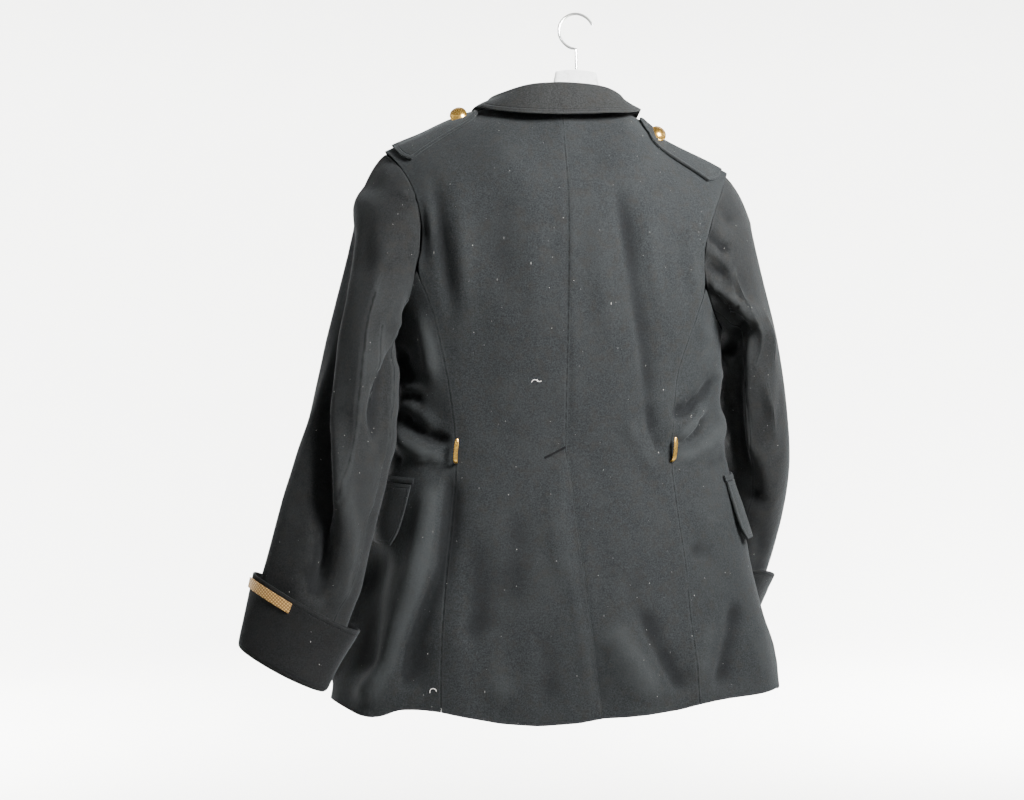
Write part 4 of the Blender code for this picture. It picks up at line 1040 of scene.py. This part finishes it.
RIGHT_SLEEVE_CREASES = (
    creases(View.PICTURE, (
        (((255, 255), (268, 235), (280, 215)), 0.0088, -0.0037),
        (((239, 217), (251, 203), (265, 191), (278, 188)), 0.0057, -0.0075, -0.2, 0.25),
        (((235, 193), (251, 185), (268, 168), (280, 145)), 0.0057, 0.005, 0.0, 0.25),
        (((242, 172), (258, 163), (273, 155)), 0.0057, -0.0065),
        (((240, 160), (255, 140), (278, 121), (294, 107), (300, 90)), 0.0057, 0.0067, 0.2, 0.2),
        (((250, 135), (263, 125), (273, 122)), 0.0045, -0.0043),
        (((263, 120), (275, 110), (287, 102)), 0.0063, -0.0075),
        (((297, 102), (282, 83), (265, 50)), 0.0094, -0.0106, 0.0, 0.25),
        (((301, 98), (297, 60), (295, 10), (296, -37), (306, -92)), 0.0063, 0.0063, 0.35, 0.15),
        (((286, 62), (282, 13), (286, -50), (297, -102)), 0.0081, -0.0057, 0.0, 0.2),
        (((276, 60), (271, 13), (278, -50), (290, -110)), 0.0075, 0.0037, 0.0, 0.25),
        (((305, 30), (312, 0), (323, -50)), 0.0088, -0.0027),
        (((295, -107), (307, -125), (325, -135)), 0.01, -0.0053),
        (((312, -50), (315, -87), (323, -107)), 0.0088, 0.004),
        (((312, -150), (310, -194), (305, -237)), 0.0088, -0.0035),
        (((287, 200), (300, 125), (315, 62)), 0.01, 0.0025),
        (((280, 172), (290, 138), (300, 117)), 0.005, -0.003),
        (((260, 40), (263, 0), (270, -50)), 0.0063, 0.004, 0.0, 0.25),
    ))
    + creases(View.FRONT, (
        (((-150, -410), (-204, -456), (-262, -476)), 0.009, -0.0044),
        (((-160, -450), (-212, -494), (-270, -512)), 0.009, 0.004),
        (((-180, -548), (-232, -580), (-288, -590)), 0.008, 0.0044),
        (((-186, -580), (-236, -612), (-290, -622)), 0.007, -0.0044),
        (((-190, -616), (-240, -646), (-290, -654)), 0.008, 0.0034),
        (((-198, -690), (-244, -714), (-286, -708)), 0.009, -0.003),
    ))
    + creases(View.RIGHT, (
        (((12, -290), (6, -430), (-4, -600)), 0.014, -0.003),
        (((-30, -400), (-40, -540), (-60, -700)), 0.012, 0.0034),
    ))
)

# Inside of each sleeve: height, then across and depth
LEFT_SLEEVE_MIDDLE = ((-0.86, 0.384, 0.060), (-0.735, 0.345, 0.054), (-0.60, 0.309, 0.044),
                      (-0.505, 0.293, 0.034), (-0.42, 0.279, 0.018), (-0.32, 0.250, 0.006))
RIGHT_SLEEVE_MIDDLE = ((-0.87, -0.238, -0.156), (-0.745, -0.254, -0.092), (-0.61, -0.257, -0.030),
                       (-0.52, -0.246, -0.012), (-0.44, -0.234, -0.006), (-0.34, -0.210, 0.000))


@dataclass
class Torso:
    """Backs, side bodies, fronts and lapels, with the pockets and straps sewn on them.

    Each cut is its width, length and flat area. slip and inward say how far a strap lies to
    the rear and towards the neck. hem lifts the hem's rear, as rows across and up.
    """

    back: tuple[float, float, float] = (0.215, 0.800, 0.146)
    side: tuple[float, float, float] = (0.240, 0.560, 0.120)
    front: tuple[float, float, float] = (0.245, 0.800, 0.149)
    lapel: tuple[float, float, float] = (0.085, 0.200, 0.0125)
    flap: tuple[float, float, float] = (0.170, 0.082, 0.0134)
    welt: tuple[float, float, float] = (0.166, 0.0100, 0.00160)
    strap: tuple[float, float, float] = (0.116, 0.053, 0.0054)
    slip: float = 0.013
    inward: float = 0.010
    middle: tuple[tuple[float, float, float], ...] = ((-0.95, GARMENT_X, 0.012), (-0.30, GARMENT_X, 0.004))
    hem: tuple[tuple[float, float], ...] = (
        (-0.220, 0.0063), (-0.209, 0.0037), (-0.190, 0.0000), (-0.175, 0.0000), (-0.159, 0.0037),
        (-0.150, 0.0088), (-0.140, 0.0125), (-0.115, 0.0150), (-0.090, 0.0150), (-0.065, 0.0125),
        (-0.046, 0.0100), (-0.015, 0.0050), (0.035, 0.0025), (0.085, 0.0050), (0.110, 0.0088),
        (0.160, 0.0112), (0.210, 0.0100), (0.235, 0.0125), (0.260, 0.0125), (0.291, 0.0112),
        (0.328, 0.0112))

    def pieces(self) -> tuple[list[ClothPiece], list[ClothPiece]]:
        """Panels of the body, and the cloth sewn on them.

        Returns:
            The panels, and the lapels, flaps, welts and straps.
        """
        panels, trims = [], []
        for label in ("left", "right"):
            for kind, cut in (("back", self.back), ("side", self.side), ("front", self.front)):
                panels.append(ClothPiece(f"{kind}_{label}", cut[:2], cut[2], "hung", ("hanger",)))
            for kind, cut, under in (("lapel", self.lapel, "front"), ("pocket_flap", self.flap, "side"),
                                     ("pocket_welt", self.welt, "side"), ("strap", self.strap, "back")):
                # lapels, flaps and straps take the lighter wool, whose extra lightness is painted light
                finish = WOOL if kind == "pocket_welt" else EDGED_WOOL
                trims.append(ClothPiece(f"{kind}_{label}", cut[:2], cut[2], "laid",
                                        (f"{under}_{label}",), finish, edge_roll=0.0006))
        return panels, trims

    def settle(self, strap: bpy.types.Mesh, cloth: Sequence[bpy.types.Mesh], inward: float) -> None:
        """Lets a strap slip to the rear over the shoulder, lying on it as before.

        Args:
            strap: mesh of the strap.
            cloth: meshes of the panels below it.
            inward: how far it goes towards the neck, along X.
        """
        bm = bmesh.new()
        for mesh in cloth:
            bm.from_mesh(mesh)
        tree = BVHTree.FromBMesh(bm)
        bm.free()
        for vert in strap.vertices:
            place, normal, _, _ = tree.find_nearest(vert.co)
            slip = Vector((inward, self.slip, 0.0))
            slip -= normal * slip.dot(normal)
            lands, facing, _, _ = tree.find_nearest(place + slip)
            if facing.dot(normal) < 0.2:
                facing = normal
            vert.co = lands + normal.rotation_difference(facing) @ (vert.co - place)
        strap.update()

    def mesh(self) -> None:
        """Builds all the torso's cloth and dresses it."""
        panels, trims = self.pieces()
        made = [(piece, piece.mesh()) for piece in panels + trims]
        count = len(panels)
        meshes = [mesh for _, mesh in made]
        Drape(BODY_CREASES, self.middle, self.hem).move(meshes[:count], meshes[count:])
        for piece, mesh in made[count:]:
            if piece.node.startswith("strap"):
                side = piece.node.removeprefix("strap_")
                under = (f"back_{side}", f"front_{side}")
                below = [m for other, m in made[:count] if other.node in under]
                self.settle(mesh, below, self.inward if side == "right" else -self.inward)
        for piece, mesh in made:
            piece.dress(mesh)
            LOG.info("%s made", piece.node)


@dataclass
class Collar:
    """Turned-down collar in one piece. droop is how far its right end hangs lower."""

    flat: tuple[float, float] = (0.480, 0.092)
    area: float = 0.0330
    droop: float = 0.0065

    def mesh(self) -> None:
        """Builds the collar and dresses it."""
        piece = ClothPiece("collar", self.flat, self.area, "folded", ("back_left", "back_right"),
                           COLLAR_WOOL)
        mesh = piece.mesh()
        points, _ = coordinates(mesh)
        across = View.PICTURE.flatten(points)[:, 0]
        points[:, 2] -= self.droop * ease(across, 0.112, 0.164)
        mesh.vertices.foreach_set("co", points.ravel())
        mesh.update()
        piece.dress(mesh)
        LOG.info("collar made")


@dataclass
class Sleeve:
    """Two-piece sleeve with its turned-back cuff.

    Each cut is its width, length and flat area. tuck is how far the sleeve goes in under
    the front's armhole.
    """

    label: str
    creases: tuple[Crease, ...]
    middle: tuple[tuple[float, float, float], ...]
    top: tuple[float, float, float] = (0.245, 0.690, 0.149)
    under: tuple[float, float, float] = (0.122, 0.545, 0.055)
    cuff: tuple[float, float, float] = (0.300, 0.145, 0.0400)
    tuck: float = 0.0017

    def mesh(self) -> None:
        """Builds the sleeve and its cuff and dresses them."""
        pieces = [ClothPiece(f"sleeve_top_{self.label}", self.top[:2], self.top[2], "hung",
                             (f"back_{self.label}", f"front_{self.label}"), SLEEVE_WOOL, tuck=self.tuck),
                  ClothPiece(f"sleeve_under_{self.label}", self.under[:2], self.under[2], "hung",
                             (f"side_{self.label}",), SLEEVE_WOOL),
                  ClothPiece(f"cuff_{self.label}", self.cuff[:2], self.cuff[2], "folded",
                             (f"sleeve_top_{self.label}", f"sleeve_under_{self.label}"), CUFF_WOOL)]
        meshes = [piece.mesh() for piece in pieces]
        Drape(self.creases, self.middle).move(meshes[:2])
        for piece, mesh in zip(pieces, meshes):
            piece.dress(mesh)
            LOG.info("%s made", piece.node)


@dataclass
class BraidBar:
    """Bar of gold braid sewn on the left cuff."""

    flat: tuple[float, float] = (0.062, 0.0135)

    def mesh(self) -> None:
        """Builds the bar from its solid and dresses it."""
        piece = ClothPiece("braid_left", self.flat, self.flat[0] * self.flat[1], "laid", ("cuff_left",),
                           edge_roll=0.0003)
        made = finished("braid_left_bar", piece.mesh(), BRAID.material("gold_braid"))
        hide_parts("braid_left")
        LOG.info("braid made")


@dataclass
class Buttons:
    """Plain domed gilt buttons with a rolled rim and a groove inside it.

    Strap buttons tilt by droop, are larger by grow, and sit off their straps' middles by
    moved (left, then right). profile gives radius and height as shares of the rim's radius.
    """

    segments: int = 40
    droop: tuple[float, float, float] = (0.10, 1.15, -0.10)
    grow: float = 1.28
    moved: tuple[tuple[float, float, float], ...] = ((-0.006, 0.006, 0.000), (0.0045, 0.008, -0.001))
    profile: tuple[tuple[float, float], ...] = (
        (0.40, -0.10), (0.86, -0.05), (0.97, 0.00), (1.00, 0.07), (0.96, 0.145), (0.89, 0.165),
        (0.84, 0.135), (0.80, 0.165), (0.70, 0.27), (0.54, 0.385), (0.34, 0.465), (0.14, 0.505))

    def nodes(self) -> list[str]:
        """Names of the buttons' nodes."""
        front = [f"front_button_{i}" for i in range(1, 5)]
        return ["strap_button_left", "strap_button_right", *front]

    def axis(self, node: str) -> tuple[Vector, Vector, float]:
        """Seat, direction and radius of a button, read from its solid.

        Args:
            node: name of the button's node.

        Returns:
            The seat's middle, the way its dome faces, and the rim's radius.
        """
        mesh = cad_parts[node].data
        points, _ = coordinates(mesh)
        middle = points.mean(axis=0)
        _, _, ways = np.linalg.svd(points - middle, full_matrices=False)
        way = ways[2]
        along = (points - middle) @ way
        across = np.linalg.norm(points - middle - np.outer(along, way), axis=1)
        radius = float(across.max())
        low, high = float(along.min()), float(along.max())
        top_ring = across[along > high - 0.15 * (high - low)].max()
        low_ring = across[along < low + 0.15 * (high - low)].max()
        if top_ring > low_ring:
            way, low, high = -way, -high, -low
        seat = middle + way * (low + 0.10 * radius)
        return Vector(seat), Vector(way), radius

    def mesh(self) -> None:
        """Turns each button's profile round its axis and dresses it."""
        metal = GILT.material("gilt_button")
        for node in self.nodes():
            seat, way, radius = self.axis(node)
            if node.startswith("strap"):
                seat = seat + way * 0.0022 + Vector(self.moved[int(node.endswith("right"))])
                way = (way + Vector(self.droop)).normalized()
                radius *= self.grow
            bm = bmesh.new()
            ring = [bm.verts.new((r * radius, 0.0, h * radius)) for r, h in self.profile]
            edges = [bm.edges.new(pair) for pair in zip(ring, ring[1:])]
            bmesh.ops.spin(bm, geom=ring + edges, cent=(0, 0, 0), axis=(0, 0, 1), angle=2 * math.pi,
                           steps=self.segments, use_merge=True)
            bmesh.ops.remove_doubles(bm, verts=bm.verts, dist=1e-6)
            ends = [e for e in bm.edges if e.is_boundary]
            bmesh.ops.contextual_create(bm, geom=[e for e in ends if e.verts[0].co.z < 0])
            bmesh.ops.contextual_create(bm, geom=[e for e in ends if e.verts[0].co.z > 0])
            bmesh.ops.recalc_face_normals(bm, faces=bm.faces)
            turn = way.to_track_quat("Z", "Y").to_matrix().to_4x4()
            bmesh.ops.transform(bm, matrix=Matrix.Translation(seat) @ turn, verts=bm.verts)
            piece = finished(node + "_dome", mesh_of(bm, node + "_dome"), metal)
            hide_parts(node)
            LOG.info("%s made", node)


@dataclass
class Sewing:
    """The tack across the top of the vent, near black as a painted shadow line, and three curls of loose
    thread.

    tack gives its two ends on the picture's plane, and curls a row for each thread: place
    across and up the plane, radius, sweep and start in degrees.
    """

    tack: tuple[tuple[float, float], tuple[float, float]] = ((0.0405, -0.0725), (0.0665, -0.0590))
    tack_size: tuple[float, float] = (0.0028, 0.0014)
    thread: float = 0.00042
    stands: float = 0.0004
    curls: tuple[tuple[float, float, float, float, float], ...] = (
        (0.0285, 0.0215, 0.0040, 150.0, 20.0), (0.0345, 0.0265, 0.0034, 120.0, 190.0),
        (-0.0985, -0.3650, 0.0042, 190.0, 10.0))

    @staticmethod
    def surface(across: float, up: float) -> tuple[Vector, Vector]:
        """Place on the back's cloth that the picture shows at a point of its plane.

        Args:
            across: distance across the plane.
            up: distance up it.

        Returns:
            The place and the cloth's direction there.
        """
        bpy.context.view_layer.update()
        way = Vector(SIGHT * PLANE + RIGHT_HAND * across) + Vector((0.0, 0.0, up))
        best = None
        for node in ("back_left", "back_right", "side_left", "side_right"):
            piece = bpy.data.objects[node + "_cloth"]
            hit, place, normal, _ = piece.ray_cast(Vector(EYE), way.normalized())
            if hit and (best is None or (place - Vector(EYE)).length < (best[0] - Vector(EYE)).length):
                best = (place, normal)
        if best is None:
            raise ValueError(f"no cloth at {across}, {up}")
        return best

    def stitch(self) -> None:
        """Makes the tack: a thin welt of thread across the vent's top, near black as a painted shadow line.
        """
        (a, normal), (b, _) = (self.surface(*end) for end in self.tack)
        run = b - a
        bm = bmesh.new()
        bmesh.ops.create_cube(bm, size=1.0)
        bmesh.ops.scale(bm, vec=(run.length, *self.tack_size), verts=bm.verts)
        bmesh.ops.bevel(bm, geom=bm.edges[:], offset=0.0004, offset_type="OFFSET", segments=3, profile=0.5,
                        affect="EDGES", material=-1)
        side = normal.cross(run).normalized()
        turn = Matrix((run.normalized(), side, normal)).transposed().to_4x4()
        place = Matrix.Translation((a + b) / 2 + normal * self.stands)
        bmesh.ops.transform(bm, matrix=place @ turn, verts=bm.verts)
        # the tack's near-black colour is a painted shadow line
        finished("vent_tack_painted_shadow", mesh_of(bm, "vent_tack_painted_shadow"), TACK_SHADOW_WOOL.material("tack_painted_shadow"))

    def curl(self, index: int, across: float, up: float, radius: float, sweep: float, start: float) -> None:
        """Makes one arc of loose thread lying on the cloth.

        Args:
            index: its number.
            across: place across the picture's plane.
            up: place up it.
            radius: of the arc.
            sweep: angle of the arc in degrees.
            start: where the arc begins, in degrees.
        """
        place, normal = self.surface(across, up)
        bm = bmesh.new()
        ring = bmesh.ops.create_circle(bm, cap_ends=True, radius=self.thread, segments=8)["verts"]
        bmesh.ops.rotate(bm, cent=(0, 0, 0), matrix=Matrix.Rotation(math.pi / 2, 3, "X"), verts=ring)
        bmesh.ops.translate(bm, vec=(radius, 0, 0), verts=ring)
        bmesh.ops.spin(bm, geom=bm.faces[:] + bm.edges[:] + bm.verts[:], cent=(0, 0, 0), axis=(0, 0, 1),
                       angle=math.radians(sweep), steps=24, use_merge=False)
        bmesh.ops.rotate(bm, cent=(0, 0, 0), matrix=Matrix.Rotation(math.radians(start), 3, "Z"),
                         verts=bm.verts)
        bmesh.ops.recalc_face_normals(bm, faces=bm.faces)
        turn = normal.to_track_quat("Z", "Y").to_matrix().to_4x4()
        lies = Matrix.Translation(place + normal * self.stands)
        bmesh.ops.transform(bm, matrix=lies @ turn, verts=bm.verts)
        name = f"thread_{index}"
        finished(name, mesh_of(bm, name), THREAD.material(name))

    def mesh(self) -> None:
        """Builds the tack and the threads."""
        self.stitch()
        for index, row in enumerate(self.curls, 1):
            self.curl(index, *row)
        LOG.info("tack and threads made")


@dataclass
class HardPieces:
    """Belt hooks and the hanger, softened on their solids."""

    hooks: tuple[str, ...] = ("belt_hook_left", "belt_hook_right")

    def soften(self, node: str, levels: int, material: bpy.types.Material, bevel: float) -> None:
        """Rounds one solid and dresses it.

        Args:
            node: name of the node.
            levels: levels of subdivision.
            material: its material.
            bevel: breadth of the rounding along its ends, in metres.
        """
        bm = opened(node, 0.7)
        rim = [e for e in bm.edges if e.is_manifold and e.calc_face_angle(0.0) > HARD_END]
        if rim:
            rounded(bm, rim, bevel)
        piece = finished(node + "_form", refined(mesh_of(bm, node), levels), material)
        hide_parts(node)
        LOG.info("%s made", node)

    def mesh(self) -> None:
        """Builds the hooks, the hanger and its wire."""
        brass = GILT.material("brass_hook")
        for node in self.hooks:
            self.soften(node, 2, brass, 0.0004)
        self.soften("hanger", 2, PLASTIC.material("hanger_plastic"), 0.002)
        self.soften("hanger_hook", 1, PLATED.material("hook_wire"), 0.0005)


@dataclass
class Studio:
    """Pale floor that sweeps up to a round wall, soft light and the camera.

    sky is the surroundings' strength; key, back and fill are watts.
    """

    floor_z: float = -1.55
    floor_radius: float = 4.0
    floor_steps: int = 96
    pale: tuple[float, float, float] = (0.64, 0.64, 0.63)
    greyer: tuple[float, float, float] = (0.61, 0.61, 0.60)
    sweep: float = 3.0
    wall: float = 4.6
    sky: float = 0.40
    key: float = 106.0
    back: float = 1500.0
    fill: float = 34.0
    lens: float = 47.81
    sensor: float = 36.0

    def floor(self) -> None:
        """Makes the floor."""
        bm = bmesh.new()
        rise = [(self.floor_radius * r, self.floor_z) for r in (0.0, 0.3, 0.6, 0.8, 1.0)]
        for i in range(1, 17):
            turn = math.pi / 2 * i / 16
            rise.append((self.floor_radius + self.sweep * math.sin(turn),
                         self.floor_z + self.sweep * (1 - math.cos(turn))))
        rise.append((self.floor_radius + self.sweep, self.floor_z + self.wall))
        line = [bm.verts.new((r, 0.0, z)) for r, z in rise]
        edges = [bm.edges.new(pair) for pair in zip(line, line[1:])]
        bmesh.ops.spin(bm, geom=line + edges, cent=(0, 0, 0), axis=(0, 0, 1), angle=2 * math.pi,
                       steps=self.floor_steps, use_merge=True)
        bmesh.ops.remove_doubles(bm, verts=bm.verts, dist=1e-5)
        bmesh.ops.recalc_face_normals(bm, faces=bm.faces)
        if bm.faces[0].normal.z < 0:
            bmesh.ops.reverse_faces(bm, faces=bm.faces)
        n = Nodes("pale_floor")
        n.link(n.mix(n.noise(3.0), self.pale, self.greyer), n.shader.inputs["Base Color"])
        n.set(Roughness=0.85)
        mesh = mesh_of(bm, "floor")
        mesh.shade_smooth()
        mesh.materials.append(n.material)
        floor = bpy.data.objects.new("floor", mesh)
        bpy.context.scene.collection.objects.link(floor)

    def lamp(self, name: str, place: tuple[float, float, float], aim: tuple[float, float, float],
             size: float, power: float, colour: tuple[float, float, float]) -> None:
        """Makes one soft light.

        Args:
            name: name of the light.
            place: where it stands.
            aim: what it points at.
            size: its side in metres.
            power: its power in watts.
            colour: its colour.
        """
        data = bpy.data.lights.new(name, "AREA")
        data.shape = "SQUARE"
        data.size = size
        data.energy = power
        data.color = colour
        lamp = bpy.data.objects.new(name, data)
        lamp.visible_camera = False
        way = Vector(aim) - Vector(place)
        lamp.matrix_world = Matrix.Translation(place) @ way.to_track_quat("-Z", "Y").to_matrix().to_4x4()
        bpy.context.scene.collection.objects.link(lamp)

    def light(self) -> None:
        """Makes the lights and the pale surroundings."""
        world = bpy.data.worlds.new("pale_room")
        world.use_nodes = True
        world.node_tree.nodes["Background"].inputs["Color"].default_value = (1.0, 0.99, 0.97, 1.0)
        world.node_tree.nodes["Background"].inputs["Strength"].default_value = self.sky
        bpy.context.scene.world = world
        self.lamp("key", (-0.62, 1.02, 0.17), (0.03, 0.10, -0.40), 0.36, self.key, (1.0, 0.985, 0.96))
        for side in (-1, 1):
            self.lamp(f"wall_{side + 2}", (2.3 * side, -1.6, 0.6), (1.2 * side, -7.0, -0.6), 1.4, self.back,
                      (1.0, 1.0, 0.99))
        self.lamp("front_fill", (-0.6, -2.4, 0.9), (0.0, 0.0, -0.5), 2.0, self.fill, (1.0, 0.99, 0.98))

    def camera(self) -> None:
        """Makes the camera at the picture's viewing angle."""
        data = bpy.data.cameras.new("camera")
        data.lens = self.lens
        data.sensor_width = self.sensor
        camera = bpy.data.objects.new("camera", data)
        way = Vector(SIGHT)
        camera.matrix_world = Matrix.Translation(EYE) @ way.to_track_quat("-Z", "Y").to_matrix().to_4x4()
        bpy.context.scene.collection.objects.link(camera)
        bpy.context.scene.camera = camera

    def mesh(self) -> None:
        """Sets up the studio."""
        self.floor()
        self.light()
        self.camera()


def main() -> None:
    """Builds the studio and every part of the garment."""
    logging.basicConfig(level=logging.INFO, format="%(message)s")
    Studio().mesh()
    Torso().mesh()
    Collar().mesh()
    Sleeve("left", LEFT_SLEEVE_CREASES, LEFT_SLEEVE_MIDDLE).mesh()
    Sleeve("right", RIGHT_SLEEVE_CREASES, RIGHT_SLEEVE_MIDDLE).mesh()
    BraidBar().mesh()
    Buttons().mesh()
    Sewing().mesh()
    HardPieces().mesh()


if __name__ == "__main__":
    main()
